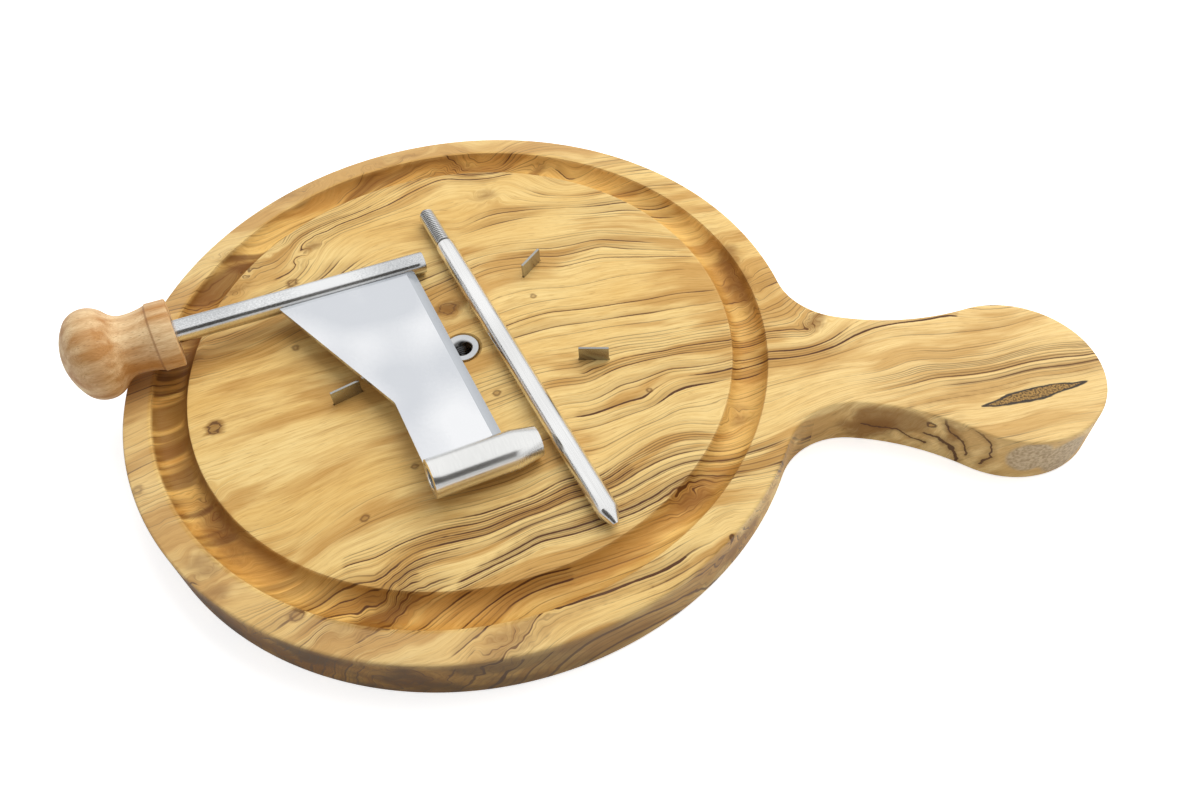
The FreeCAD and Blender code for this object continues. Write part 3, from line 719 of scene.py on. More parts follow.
    def _bark_pocket(self, wood: WoodInputs, colour: Socket) -> Socket:
        """Draws the lens of old bark on the handle: speckled tan inside a dark blue-grey outline.

        Args:
            wood: what the board gives.
            colour: the colour so far.

        Returns:
            The colour with the bark.
        """
        tree = wood.tree
        x, y, slope, half_length, half_width = BARK_POCKET
        place = {"Vector": wood.millimetres, "Location": (x, y, 20), "Rotation": (0, 0, math.radians(slope))}
        local = put(tree, "Mapping", place, vector_type="TEXTURE")
        forward, aside, upward = put(tree, "SeparateXYZ", (local,)).node.outputs
        along = put(tree, "Math DIVIDE", (forward, half_length))
        taper = put(tree, "Math MULTIPLY", (along, along))
        taper = put(tree, "Math SUBTRACT", (1.0, taper))
        reach = put(tree, "Math MULTIPLY", (taper, half_width))
        wobble = put(tree, "TexNoise", (wood.grain, None, 0.35, 3.0, 0.55))
        wobble = put(tree, "Math SUBTRACT", (wobble, 0.5))
        wobble = put(tree, "Math MULTIPLY", (wobble, 2.6))
        past = put(tree, "Math ABSOLUTE", (aside,))
        past = put(tree, "Math ADD", (past, wobble))
        past = put(tree, "Math SUBTRACT", (past, reach))
        on_top = put(tree, "Math GREATER_THAN", (upward, -3.0))
        inner = put(tree, "MapRange", (past, -0.25, 0.1, 1.0, 0.0), **SMOOTH)
        inner = put(tree, "Math MULTIPLY", (inner, on_top))
        speckle = put(tree, "TexNoise", (wood.millimetres, None, 1.6, 3.0))
        bark = put(tree, "ValToRGB", (speckle,), ramp=[(0.38, self.bark[0]), (0.58, self.bark[1])])
        colour = put(tree, "Mix", {SHARE: inner, UNDER: colour, OVER: bark}, MIXED, **COLOURS)
        off_edge = put(tree, "Math ABSOLUTE", (past,))
        outline = put(tree, "MapRange", (off_edge, 0.2, 0.55, 0.95, 0.0), **SMOOTH)
        outline = put(tree, "Math MULTIPLY", (outline, on_top))
        from_middle = put(tree, "Math ABSOLUTE", (along,))
        within = put(tree, "Math LESS_THAN", (from_middle, 1.02))
        outline = put(tree, "Math MULTIPLY", (outline, within))
        return put(tree, "Mix", {SHARE: outline, UNDER: colour, OVER: self.bark_outline}, MIXED, **COLOURS)

    def _groove_and_rim(self, wood: WoodInputs, colour: Socket) -> Socket:
        """Tints the groove, stained brown with painted shade and partly oiled, and the drier rim on the left.

        Args:
            wood: what the board gives.
            colour: the colour so far.

        Returns:
            The colour with groove and rim.
        """
        tree = wood.tree
        board = PaddleBoard()
        off_middle = put(tree, "Math SUBTRACT", (wood.radius, board.groove_middle))
        off_middle = put(tree, "Math ABSOLUTE", (off_middle,))
        near = put(tree, "Math LESS_THAN", (off_middle, board.groove_width / 2 + 0.6))
        top = board.thickness
        deep = put(tree, "MapRange", (wood.z, top - 1.6, top - 0.1, 1.0, 0.0), **SMOOTH)
        deep = put(tree, "Math MULTIPLY", (deep, near))
        above = put(tree, "Math GREATER_THAN", (wood.z, top - board.groove_depth - 0.5))
        deep = put(tree, "Math MULTIPLY", (deep, above))
        # Brown staining in streaks along the grain; painted shade is added below, on the inner slope and towards
        # the left.
        stain_and_shade = self._streaks(wood, wood.grown["level"], 0.03, 6.0, 2.0)
        stain_and_shade = put(tree, "MapRange", (stain_and_shade, 0.4, 0.56, 0.0, 0.72), **SMOOTH)
        middle = board.groove_middle
        # Painted shade: the groove's inner slope darker, as it lies in shade.
        painted_wall_shade = put(tree, "MapRange", (wood.radius, middle - 5.0, middle - 0.5, 0.75, 0.0), **SMOOTH)
        stain_and_shade = put(tree, "Math MAXIMUM", (stain_and_shade, painted_wall_shade))
        # Painted shade: the groove darker towards the left, where it lies in shade; this scales the staining too.
        left = put(tree, "MapRange", (wood.x, -80.0, 0.0, 1.0, 0.2), **SMOOTH)
        stain_and_shade = put(tree, "Math MULTIPLY", (stain_and_shade, left))
        oiled = put(tree, "Mix", {SHARE: stain_and_shade, UNDER: colour, OVER: self.groove_stain_and_shade}, MIXED, **COLOURS)
        # A warm tint over the groove: partly the oil it took up, partly painted shade.
        oiled = put(tree, "Mix", {SHARE: 1.0, UNDER: oiled, OVER: self.in_groove}, MIXED, **TINTED)
        colour = put(tree, "Mix", {SHARE: deep, UNDER: colour, OVER: oiled}, MIXED, **COLOURS)
        outer = board.groove_outer
        outside = put(tree, "MapRange", (wood.radius, outer + 0.5, outer + 1.5, 0.0, 0.2), **SMOOTH)
        dry = put(tree, "MapRange", (wood.x, 20.0, 70.0, 1.0, 0.0), **SMOOTH)
        dry = put(tree, "Math MULTIPLY", (outside, dry))
        return put(tree, "Mix", {SHARE: dry, UNDER: colour, OVER: self.dry_rim}, MIXED, **COLOURS)

    def _side(self, wood: WoodInputs, colour: Socket) -> Socket:
        """Greys the round's side, its own tone and painted shade, with dark patches, mostly on the near side.

        Args:
            wood: what the board gives.
            colour: the colour so far.

        Returns:
            The colour with the sides.
        """
        tree = wood.tree
        side = wood.grown["side"]
        # Dark patches, scaled below by the painted shade, so strongest at the near left.
        patches = put(tree, "TexNoise", (wood.grain, None, 0.09, 4.0, 0.55))
        patches = put(tree, "MapRange", (patches, 0.45, 0.62, 0.0, 0.75), **SMOOTH)
        patches = put(tree, "Math MULTIPLY", (patches, side))
        # Painted shade: the side darker towards the left, lighter along the handle, as the light falls on it.
        painted_side_shade = put(tree, "MapRange", (wood.x, 0.0, 100.0, 1.0, 0.0), **SMOOTH)
        patches = put(tree, "Math MULTIPLY", (patches, painted_side_shade))
        front = put(tree, "MapRange", (wood.y, -30.0, 50.0, 1.0, 0.3), **SMOOTH)
        patches = put(tree, "Math MULTIPLY", (patches, front))
        # The grey tint on the side: partly the wood's own tone there, partly painted shade.
        greyed = put(tree, "Mix", {SHARE: 1.0, UNDER: colour, OVER: self.on_side}, MIXED, **TINTED)
        share = put(tree, "Math MULTIPLY", (side, painted_side_shade))
        colour = put(tree, "Mix", {SHARE: share, UNDER: colour, OVER: greyed}, MIXED, **COLOURS)
        return put(tree, "Mix", {SHARE: patches, UNDER: colour, OVER: self.dark_side_patch}, MIXED, **COLOURS)

    def _side_figure(self, wood: WoodInputs, colour: Socket) -> Socket:
        """Draws the brown patch, the dark flames and the small knot on the handle's near side.

        Args:
            wood: what the board gives.
            colour: the colour so far.

        Returns:
            The colour with the figure.
        """
        tree = wood.tree
        near = put(tree, "Math LESS_THAN", (wood.y, -10.0))
        near = put(tree, "Math MULTIPLY", (near, wood.grown["side"]))
        uneven = put(tree, "TexNoise", (wood.millimetres, None, 0.3, 3.0, 0.55), "Color")
        uneven = put(tree, "VectorMath SUBTRACT", (uneven, (0.5, 0.5, 0.5)))
        place = put(tree, "CombineXYZ", (wood.x, wood.z))
        place = put(tree, "VectorMath MULTIPLY_ADD", (uneven, (3.0, 3.0, 0.0), place))
        (patch_middle, half_sizes), (knot_middle, radius) = SIDE_PATCH, SIDE_KNOT
        off_patch = put(tree, "VectorMath SUBTRACT", (place, (*patch_middle, 0.0)))
        off_patch = put(tree, "VectorMath DIVIDE", (off_patch, (*half_sizes, 1.0)))
        off_patch = put(tree, "VectorMath LENGTH", (off_patch,), "Value")
        layers = [(off_patch, 0.8, 1.15, 0.7, self.shade)]
        for half_width, flame in SIDE_FLAMES:
            away: Socket | float = 100.0
            for start, end in zip(flame, flame[1:]):
                run = Vector((*end, 0.0)) - Vector((*start, 0.0))
                offset = put(tree, "VectorMath SUBTRACT", (place, (*start, 0.0)))
                per_length = tuple(run / run.length_squared)
                along = put(tree, "VectorMath DOT_PRODUCT", (offset, per_length), "Value")
                along = put(tree, "Clamp", (along, 0.0, 1.0))
                foot = put(tree, "VectorMath SCALE", {0: tuple(run), "Scale": along})
                apart = put(tree, "VectorMath DISTANCE", (offset, foot), "Value")
                away = put(tree, "Math MINIMUM", (away, apart))
            layers.append((away, half_width, half_width + 2.6, 0.45, self.shade))
            layers.append((away, half_width, half_width + 0.35, 0.9, self.line))
        off_knot = put(tree, "VectorMath DISTANCE", (place, (*knot_middle, 0.0)), "Value")
        layers.append((off_knot, radius, radius + 0.7, 0.85, self.line))
        layers.append((off_knot, radius * 0.5, radius * 0.8, 0.85, self.cloud))
        for away, full, none, force, tint in layers:
            share = put(tree, "MapRange", (away, full, none, force, 0.0), **SMOOTH)
            share = put(tree, "Math MULTIPLY", (share, near))
            colour = put(tree, "Mix", {SHARE: share, UNDER: colour, OVER: tint}, MIXED, **COLOURS)
        return colour

    def _weathering(self, wood: WoodInputs, colour: Socket) -> Socket:
        """Bleaches the worn patches on the handle's side.

        Args:
            wood: what the board gives.
            colour: the colour so far.

        Returns:
            The finished colour.
        """
        tree = wood.tree
        speckle = put(tree, "TexNoise", (wood.millimetres, None, 0.9, 4.0))
        bleached = put(tree, "ValToRGB", (speckle,), ramp=[(0.36, self.bleached[0]), (0.6, self.bleached[1])])
        share = put(tree, "MapRange", (wood.grown["weathered"], 0.45, 0.62, 0.0, 0.9), **SMOOTH)
        return put(tree, "Mix", {SHARE: share, UNDER: colour, OVER: bleached}, MIXED, **COLOURS)


@dataclass(frozen=True)
class TurnedBeech:
    """Beech, turned on a lathe and waxed: even light tan with fine short flecks along the axis."""

    pale: str = "#F8D9A8"
    tan: str = "#CC9658"
    fleck_and_step_shade: str = "#A06A3A"
    fibre: str = "#D8BFA0"
    step_at: float = -6.85          # mm along the axis, the cut behind the collar: painted shade there, with a slightly darker line
    cloud_stretch: tuple[float, float, float] = (0.12, 1.0, 1.0)    # along the axis and across it
    fleck_cells: tuple[float, float, float] = (0.35, 1.6, 1.6)      # a millimetre; real flecks are 2 mm long
    roughness: float = 0.48
    bump_height: float = 0.00006    # metres

    def build(self) -> Material:
        """Makes the material from the piece's own lathe coordinates.

        Returns:
            The material.
        """
        material, tree, shader = new_material("turned_beech")
        local = put(tree, "Attribute", out="Vector", attribute_name="lathe")
        drawn = put(tree, "VectorMath MULTIPLY", (local, self.cloud_stretch))
        cloud = put(tree, "TexNoise", (drawn, None, 0.22, 3.0))
        colour = put(tree, "ValToRGB", (cloud,), ramp=[(0.36, self.tan), (0.62, self.pale)])
        fibres = put(tree, "TexNoise", (drawn, None, 3.2, 3.0, 0.6))
        streaked = put(tree, "ValToRGB", (fibres,), ramp=[(0.3, self.fibre), (0.65, "#FFFFFF")])
        colour = put(tree, "Mix", {SHARE: 0.6, UNDER: colour, OVER: streaked}, MIXED, **TINTED)
        cells = put(tree, "VectorMath MULTIPLY", (local, self.fleck_cells))
        flecks = put(tree, "TexVoronoi", (cells, None, 1.0))
        marks = put(tree, "MapRange", (flecks, 0.10, 0.26, 0.5, 0.0), **SMOOTH)
        # Painted shade in the cut behind the collar, with a slightly darker line that the beech has there.
        along = put(tree, "SeparateXYZ", (local,))
        off_step = put(tree, "Math SUBTRACT", (along, self.step_at))
        off_step = put(tree, "Math ABSOLUTE", (off_step,))
        painted_step_shade = put(tree, "MapRange", (off_step, 0.15, 0.5, 0.5, 0.0), **SMOOTH)
        for share in (marks, painted_step_shade):
            colour = put(tree, "Mix", {SHARE: share, UNDER: colour, OVER: self.fleck_and_step_shade}, MIXED, **COLOURS)
        tree.links.new(colour, shader.inputs["Base Color"])
        shader.inputs["Roughness"].default_value = self.roughness
        bump = put(tree, "Bump", {"Strength": 0.2, "Distance": self.bump_height, "Height": fibres})
        tree.links.new(bump, shader.inputs["Normal"])
        return material


class Marks(Enum):
    """How the last tool left its marks on a steel surface, as cells a millimetre along it and across it."""

    ROUND = (7.0, 0.2, 0.2)
    LENGTHWISE = (0.06, 4.0, 4.0)
    ROLLED = (1.2, 1.2, 1.2)
    GRAINY = (1.6, 3.0, 3.0)


@dataclass(frozen=True)
class Steel:
    """Stainless steel, bright: neutral grey that mirrors its surroundings, broken up by fine tool marks."""

    name: str
    marks: Marks
    colour: str = "#C6C8CA"
    light: str = "#DADBDC"
    roughness: float = 0.22
    mark_depth: float = 0.000002    # metres
    shaded_bore: float = 0.0          # radius in millimetres inside which shade is painted, in the bore and the thread's roots
    shaded_until: float = 1000.0      # how far along the axis that goes, in millimetres
    # Painted shade deep in the bore and the thread's roots.
    recess_shade: str = "#2E2C29"
    ground: str = ""                # colour of faces that were ground after rolling, marked on the mesh

    def build(self) -> Material:
        """Makes the material, with marks a tenth of a millimetre wide, drawn coarser than the real ones.

        Returns:
            The material.
        """
        material, tree, shader = new_material(self.name)
        shader.inputs["Metallic"].default_value = 1.0
        if self.marks is Marks.ROLLED:
            place = put(tree, "TexCoord", out="Object")
            local = put(tree, "VectorMath SCALE", {0: place, "Scale": 1 / MM})
        else:
            local = put(tree, "Attribute", out="Vector", attribute_name="lathe")
        drawn = put(tree, "VectorMath MULTIPLY", (local, self.marks.value))
        fine = put(tree, "TexNoise", (drawn, None, 1.0, 2.0, 0.6))
        cloud = put(tree, "TexNoise", (local, None, 0.03, 1.0))
        rough = put(tree, "MapRange", (cloud, 0.3, 0.7, self.roughness * 0.8, self.roughness * 1.3))
        grooves = put(tree, "MapRange", (fine, 0.3, 0.7, -0.02, 0.02))
        rough = put(tree, "Math ADD", (rough, grooves))
        tree.links.new(rough, shader.inputs["Roughness"])
        tint = self._tint(tree, local, fine, cloud)
        tree.links.new(tint, shader.inputs["Base Color"])
        bump = put(tree, "Bump", {"Strength": 0.4, "Distance": self.mark_depth, "Height": fine})
        tree.links.new(bump, shader.inputs["Normal"])
        return material

    def _tint(self, tree: NodeTree, local: Socket, fine: Socket, cloud: Socket) -> Socket:
        """Mixes the steel's colour, with painted shade in a deep bore, and darker on ground faces.

        Args:
            tree: the material's node tree.
            local: places on the piece, in millimetres.
            fine: the noise of the tool marks.
            cloud: a broad noise.

        Returns:
            The colour.
        """
        grit = 0.08 if self.marks is Marks.ROLLED else 0.35
        marks = put(tree, "Math MULTIPLY", (fine, grit))
        clouds = put(tree, "Math MULTIPLY", (cloud, 1 - grit))
        mottled = put(tree, "Math ADD", (marks, clouds))
        tint = put(tree, "ValToRGB", (mottled,), ramp=[(0.38, self.colour), (0.6, self.light)])
        # Painted shade: darker within the given radius, in the bore and between the thread's ridges.
        if self.shaded_bore:
            off_axis = put(tree, "VectorMath MULTIPLY", (local, (0, 1, 1)))
            radius = put(tree, "VectorMath LENGTH", (off_axis,), "Value")
            inner = put(tree, "MapRange", (radius, self.shaded_bore * 0.8, self.shaded_bore, 0.85, 0.0), **SMOOTH)
            along = put(tree, "SeparateXYZ", (local,))
            within = put(tree, "Math LESS_THAN", (along, self.shaded_until))
            inner = put(tree, "Math MULTIPLY", (inner, within))
            tint = put(tree, "Mix", {SHARE: inner, UNDER: tint, OVER: self.recess_shade}, MIXED, **COLOURS)
        if self.ground:
            on_ground = put(tree, "Attribute", out="Fac", attribute_name="ground")
            tint = put(tree, "Mix", {SHARE: on_ground, UNDER: tint, OVER: self.ground}, MIXED, **COLOURS)
        return tint


# ---- Mesh helpers -----------------------------------------------------------------------------------
def add_piece(name: str, vertices: Points, faces: list, material: Material, body: str,
              nodes: tuple[str, ...] = (), sharp: float = 35.0) -> Object:
    """Turns vertices in millimetres into a piece that rides on a body.

    Args:
        name: the piece's name.
        vertices: coordinates in the board's frame.
        faces: vertex numbers of each face.
        material: its finish.
        body: the body that it rides on.
        nodes: the solids that it stands for.
        sharp: edges that turn by more degrees stay sharp.

    Returns:
        The new object.
    """
    mesh = bpy.data.meshes.new(name)
    mesh.from_pydata((vertices * MM).tolist(), [], faces)
    mesh.validate()
    mesh.shade_smooth()
    mesh.set_sharp_from_angle(angle=math.radians(sharp))
    mesh.materials.append(material)
    piece = bpy.data.objects.new(name, mesh)
    bpy.context.scene.collection.objects.link(piece)
    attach(piece, body)
    if nodes:
        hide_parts(*nodes)
    LOG.info("%s: %d faces on %s", name, len(mesh.polygons), body)
    return piece


def give(piece: Object, name: str, values: Points) -> None:
    """Stores values on a piece, for its material to read.

    Args:
        piece: the piece.
        name: what the values are called.
        values: one number, or one vector, for each vertex.
    """
    kind, field = ("FLOAT", "value") if values.ndim == 1 else ("FLOAT_VECTOR", "vector")
    attribute = piece.data.attributes.new(name, kind, "POINT")
    attribute.data.foreach_set(field, values.astype(np.float32).ravel())


@dataclass(frozen=True)
class Axis:
    """A line that a turned piece is drawn along: its start and its direction, in millimetres."""

    start: Points
    along: Points

    def place(self, local: Points) -> Points:
        """Moves lathe coordinates to the board's frame.

        Args:
            local: coordinates with X along the axis.

        Returns:
            The same points in the board's frame.
        """
        upright = abs(self.along[2]) >= 0.9
        helper = np.array((0.0, 1.0, 0.0)) if upright else np.array((0.0, 0.0, 1.0))
        across = np.cross(helper, self.along)
        across /= np.linalg.norm(across)
        upward = np.cross(self.along, across)
        return self.start + local @ np.stack([self.along, across, upward])


def turn(profile: list[tuple[float, float]], steps: int = 72) -> tuple[Points, list]:
    """Turns a closed outline about the X axis.

    Args:
        profile: places along the axis and radii; a radius of nought is on the axis.
        steps: divisions of the full turn.

    Returns:
        Vertices in lathe coordinates, and faces.
    """
    vertices: list[tuple[float, float, float]] = []
    rings: list[list[int]] = []
    for x, radius in profile:
        if radius < 1e-6:
            rings.append([len(vertices)])
            vertices.append((x, 0.0, 0.0))
            continue
        rings.append(list(range(len(vertices), len(vertices) + steps)))
        for i in range(steps):
            angle = 2 * math.pi * i / steps
            vertices.append((x, radius * math.cos(angle), radius * math.sin(angle)))
    faces = []
    for before, after in zip(rings, rings[1:] + rings[:1]):
        if len(before) == 1 and len(after) == 1:
            continue
        for i in range(steps):
            j = (i + 1) % steps
            if len(before) == 1:
                faces.append((before[0], after[j], after[i]))
            elif len(after) == 1:
                faces.append((before[i], before[j], after[0]))
            else:
                faces.append((before[i], before[j], after[j], after[i]))
    return np.array(vertices), faces


def ring_at(x: float, radius: float, steps: int) -> Points:
    """A ring of points round the X axis, as lathe coordinates."""
    angle = 2 * np.pi * np.arange(steps) / steps
    return np.stack([np.full(steps, x), radius * np.cos(angle), radius * np.sin(angle)], 1)


def bands(count: int, steps: int, closed: bool) -> list[tuple[int, ...]]:
    """Joins rings of points that follow one another.

    Args:
        count: how many rings there are.
        steps: points in each ring.
        closed: whether the last ring joins the first.

    Returns:
        The faces between them.
    """
    faces = []
    for r in range(count if closed else count - 1):
        s = (r + 1) % count
        for i in range(steps):
            j = (i + 1) % steps
            faces.append((r * steps + i, r * steps + j, s * steps + j, s * steps + i))
    return faces


@dataclass
class Skin:
    """A mesh in the making: vertices in millimetres and faces."""

    vertices: list[Points] = field(default_factory=list)
    faces: list[tuple[int, ...]] = field(default_factory=list)
    total: int = 0

    def add(self, points: Points) -> list[int]:
        """Adds points.

        Args:
            points: coordinates in millimetres.

        Returns:
            Their numbers.
        """
        self.vertices.append(points)
        numbers = list(range(self.total, self.total + len(points)))
        self.total += len(points)
        return numbers

    def ring(self, points: Points, height: float | Points) -> list[int]:
        """Adds a level ring of points, or one whose heights are given."""
        return self.add(np.column_stack([points, np.broadcast_to(height, len(points))]))

    def join(self, left: list[int], right: list[int]) -> None:
        """Joins two closed rings with a band of faces.

        Args:
            left: numbers of one ring's points; the faces look to the side where it runs anticlockwise.
            right: numbers of the other's, as many.
        """
        for a, b, c, d in zip(left, left[1:] + left[:1], right[1:] + right[:1], right):
            self.faces.append((a, b, c, d))

    def patch(self, points: Points, heights: Points, faces: list, flip: bool = False) -> int:
        """Adds a triangulated patch.

        Args:
            points: its points, seen from above.
            heights: their heights.
            faces: its triangles, facing up.
            flip: turns them to face down.

        Returns:
            The number of its first point.
        """
        start = self.total
        self.ring(points, heights)
        self.faces += [tuple(start + v for v in (face[::-1] if flip else face)) for face in faces]
        return start


def arc_run(centre: tuple[float, float], radius: float, start: float, end: float, count: int) -> list:
    """Finds points on an arc.

    Args:
        centre: the arc's centre.
        radius: its radius.
        start: the angle where it starts, in radians.
        end: the angle where it ends.
        count: how many steps it has.

    Returns:
        The points, both ends among them.
    """
    return [(centre[0] + radius * math.cos(a), centre[1] + radius * math.sin(a))
            for a in np.linspace(start, end, count + 1)]


def threaded(start: float, length: float, root: float, crest: float, pitch: float, steps: int = 48) -> Points:
    """Radii of a screw thread over a grid of rows along it and steps round it.

    Args:
        start: where it begins, which only sets the rows' places.
        length: how long it is.
        root: radius at the bottom of the thread.
        crest: radius at the top of the thread.
        pitch: distance between turns.
        steps: divisions of the full turn.

    Returns:
        Vertices in lathe coordinates, as rows by steps by three.
    """
    rows_to_pitch = 8
    run_out = 0.6                   # pitches over which the ridge rises at both ends
    rows = np.arange(0, length + 1e-6, pitch / rows_to_pitch)
    angle = 2 * np.pi * np.arange(steps) / steps
    phase = (rows[:, None] / pitch - angle[None] / (2 * np.pi)) % 1.0
    ridge = np.clip(1.25 - np.abs(phase - 0.5) * 3.2, 0, 1)
    ramp = np.minimum(1, np.minimum(rows, length - rows) / (run_out * pitch))
    radius = root + (crest - root) * ridge * ramp[:, None]
    grid = np.zeros((len(rows), steps, 3))
    grid[..., 0] = start + rows[:, None]
    grid[..., 1] = radius * np.cos(angle)
    grid[..., 2] = radius * np.sin(angle)
    return grid


# ---- Board ------------------------------------------------------------------------------------------
@dataclass
class PaddleBoard:
    """One plank of olive: a round with a groove, a waisted handle, and the seats of the steel pieces."""

    thickness: float = 20.0
    round_centre: tuple[float, float] = (1.0, -0.6)
    round_radius: float = 114.8
    end_centre: tuple[float, float] = (185.5, -1.7)
    end_radius: float = 29.8
    waist_width: float = 37.2
    waist_offset: float = 0.6
    waist_radius: float = 82.0
    neck_radius: float = 24.0
    rim_radius: float = 0.9
    foot_radius: float = 0.9
    groove_outer: float = 105.0
    groove_width: float = 12.0
    groove_depth: float = 5.0
    groove_rows: tuple[float, ...] = (0, 1.2, 2.3, 3.3, 4.2, 4.9, 5.4, 5.75, 6.0, 6.25, 6.6, 7.2)
    groove_steps: int = 480
    lip_softness: float = 0.3
    hole_radius: float = 6.9
    hole_steps: int = 72
    hole_offset: tuple[float, float] = (0.3, -0.3)
    seat_radius: float = 6.1
    seat_depth: float = 12.6
    runout_radius: float = 3.3
    runout_depth: float = 3.0
    slot_gap: float = 0.12
    slot_depth: float = 6.0
    cell: float = 2.4               # of the mesh, on the top
    groove_margin: float = 1.5      # left free of its inner points on both sides of the groove
    hole_margin: float = 1.6
    slot_margin: float = 6.4        # from a slot's middle
    figure_rise: float = 1.0        # depth over which the side's figure takes the place of the top's

    @property
    def cove_radius(self) -> float:
        """Radius of the groove's round section."""
        return (self.groove_width ** 2 / 4 + self.groove_depth ** 2) / (2 * self.groove_depth)

    @property
    def groove_middle(self) -> float:
        """Radius of the groove's middle line."""
        return self.groove_outer - self.groove_width / 2

    def height(self, radius: Points) -> Points:
        """Finds the top's height: flat, with the groove and its softened lips.

        Args:
            radius: distances from the middle.

        Returns:
            The heights there.
        """
        cove = self.cove_radius
        aside = np.minimum(np.abs(radius - self.groove_middle), cove)
        hollow = self.thickness - self.groove_depth + cove - np.sqrt(cove ** 2 - aside ** 2)
        mix = np.clip(0.5 + 0.5 * (hollow - self.thickness) / self.lip_softness, 0, 1)
        soft = hollow * (1 - mix) + self.thickness * mix - self.lip_softness * mix * (1 - mix)
        beyond = np.abs(radius - self.groove_middle) >= cove
        return np.where(beyond, self.thickness, np.minimum(soft, self.thickness))

    def outline(self) -> tuple[Points, Points]:
        """The paddle's outline as a chain of tangent arcs.

        Returns:
            Points anticlockwise, and their outward directions.
        """
        body = np.array(self.round_centre)
        end = np.array(self.end_centre)
        (near_waist, near_neck), (far_waist, far_neck) = self._hollows(-1), self._hollows(1)
        runs = (
            (body, self.round_radius, bearing(body, far_neck), bearing(body, near_neck), 1),
            (near_neck, self.neck_radius, bearing(near_neck, body), bearing(near_waist, near_neck), -1),
            (near_waist, self.waist_radius, bearing(near_waist, near_neck), bearing(near_waist, end), -1),
            (end, self.end_radius, bearing(end, near_waist), bearing(end, far_waist), 1),
            (far_waist, self.waist_radius, bearing(far_waist, end), bearing(far_waist, far_neck), -1),
            (far_neck, self.neck_radius, bearing(far_waist, far_neck), bearing(far_neck, body), -1),
        )
        points, outward = [], []
        for centre, radius, start, stop, sign in runs:
            swept = sign * ((sign * (stop - start)) % (2 * math.pi))
            count = max(2, math.ceil(abs(swept) * radius / self.cell))
            for i in range(count):
                angle = start + swept * i / count
                direction = np.array((math.cos(angle), math.sin(angle)))
                points.append(centre + direction * radius)
                outward.append(direction * sign)
        return np.array(points), np.array(outward)

    def _hollows(self, side: int) -> tuple[Points, Points]:
        """Finds the centres of the handle's two hollow arcs on one side.

        Args:
            side: one for the far side, minus one for the near side.

        Returns:
            The waist's centre and the neck's.
        """
        body = np.array(self.round_centre)
        end = np.array(self.end_centre)
        y = self.waist_offset + side * (self.waist_width / 2 + self.waist_radius)
        reach = self.waist_radius + self.end_radius
        waist = np.array((end[0] - math.sqrt(reach ** 2 - (y - end[1]) ** 2), y))
        to_body = self.round_radius + self.neck_radius
        to_waist = self.waist_radius - self.neck_radius
        run = waist - body
        far = np.linalg.norm(run)
        along = (to_body ** 2 - to_waist ** 2 + far ** 2) / (2 * far)
        forward = run / far
        outward = np.array((side * forward[1], -side * forward[0]))
        return waist, body + forward * along + outward * math.sqrt(to_body ** 2 - along ** 2)

    def slots(self) -> list[Points]:
        """Finds the corners of each holding plate's slot from the plates' own places.

        Returns:
            Four corners a slot, a little outside the plate's.
        """
        found = []
        for name in PLATES:
            corners = plate_corners(name)
            middle = corners.mean(0)
            rays = corners - middle
            lengths = np.linalg.norm(rays, axis=1, keepdims=True)
            found.append(middle + rays * (1 + self.slot_gap / lengths * 2))
        return found

    def build(self, material: Material) -> None:
        """Meshes the whole board and stores the wood's growth values on it.

        Args:
            material: the olive wood.
        """
        skin = Skin()
        outline, outward = self.outline()
        slots = self.slots()
        round_hole = arc_run((0, 0), self.hole_radius, 0, 2 * math.pi, self.hole_steps)[:-1]
        hole = np.array(round_hole) + self.hole_offset
        angles = np.linspace(0, 2 * math.pi, self.groove_steps, endpoint=False)
        circle = np.stack([np.cos(angles), np.sin(angles)], 1)
        grid = self._grid(outline, self.cell, self.cell * 1.1 + self.rim_radius)
        radius = np.hypot(grid[:, 0], grid[:, 1])
        edge = self.groove_rows[-1]
        inside_groove = radius < self.groove_middle - edge - self.groove_margin
        inner = grid[inside_groove & (radius > self.hole_radius + self.hole_margin)]
        for corners in slots:
            inner = inner[np.linalg.norm(inner - corners.mean(0), axis=1) > self.slot_margin]
        outer = grid[radius > self.groove_middle + edge + self.groove_margin]
        points, faces, (lip, mouth, *slot_rings) = triangulate(
            circle * (self.groove_middle - edge), [hole, *slots], inner)
        start = skin.patch(points, self.thickness, faces)
        before = [start + v for v in lip]
        mouth = [start + v for v in mouth]
        slot_rings = [[start + v for v in ring] for ring in slot_rings]
        asides = [-row for row in self.groove_rows[-2:0:-1]] + list(self.groove_rows[:-1])
        for aside in asides:
            at = self.groove_middle + aside
            after = skin.ring(circle * at, self.height(at))
            skin.join(after, before)
            before = after
        points, faces, (rim, lip) = triangulate(
            outline - outward * self.rim_radius, [circle * (self.groove_middle + edge)], outer)
        start = skin.patch(points, self.thickness, faces)
        skin.join([start + v for v in lip], before)
        foot = self._walls(skin, outline, outward, [start + v for v in rim])
        fill = self._grid(outline, self.cell * 3, self.cell * 3)
        points, faces, (under,) = triangulate(outline - outward * self.foot_radius, [], fill)
        start = skin.patch(points, 0.0, faces, flip=True)
        skin.join(foot, [start + v for v in under])
        self._bore(skin, hole, mouth)
        for corners, ring in zip(slots, slot_rings):
            floor = skin.ring(corners, self.thickness - self.slot_depth)
            skin.join(floor, ring)
            skin.faces.append(tuple(floor))
        places = np.vstack(skin.vertices)
        board = add_piece("olive_board", places, skin.faces, material, "board", ("board",))
        self._store(board, places)

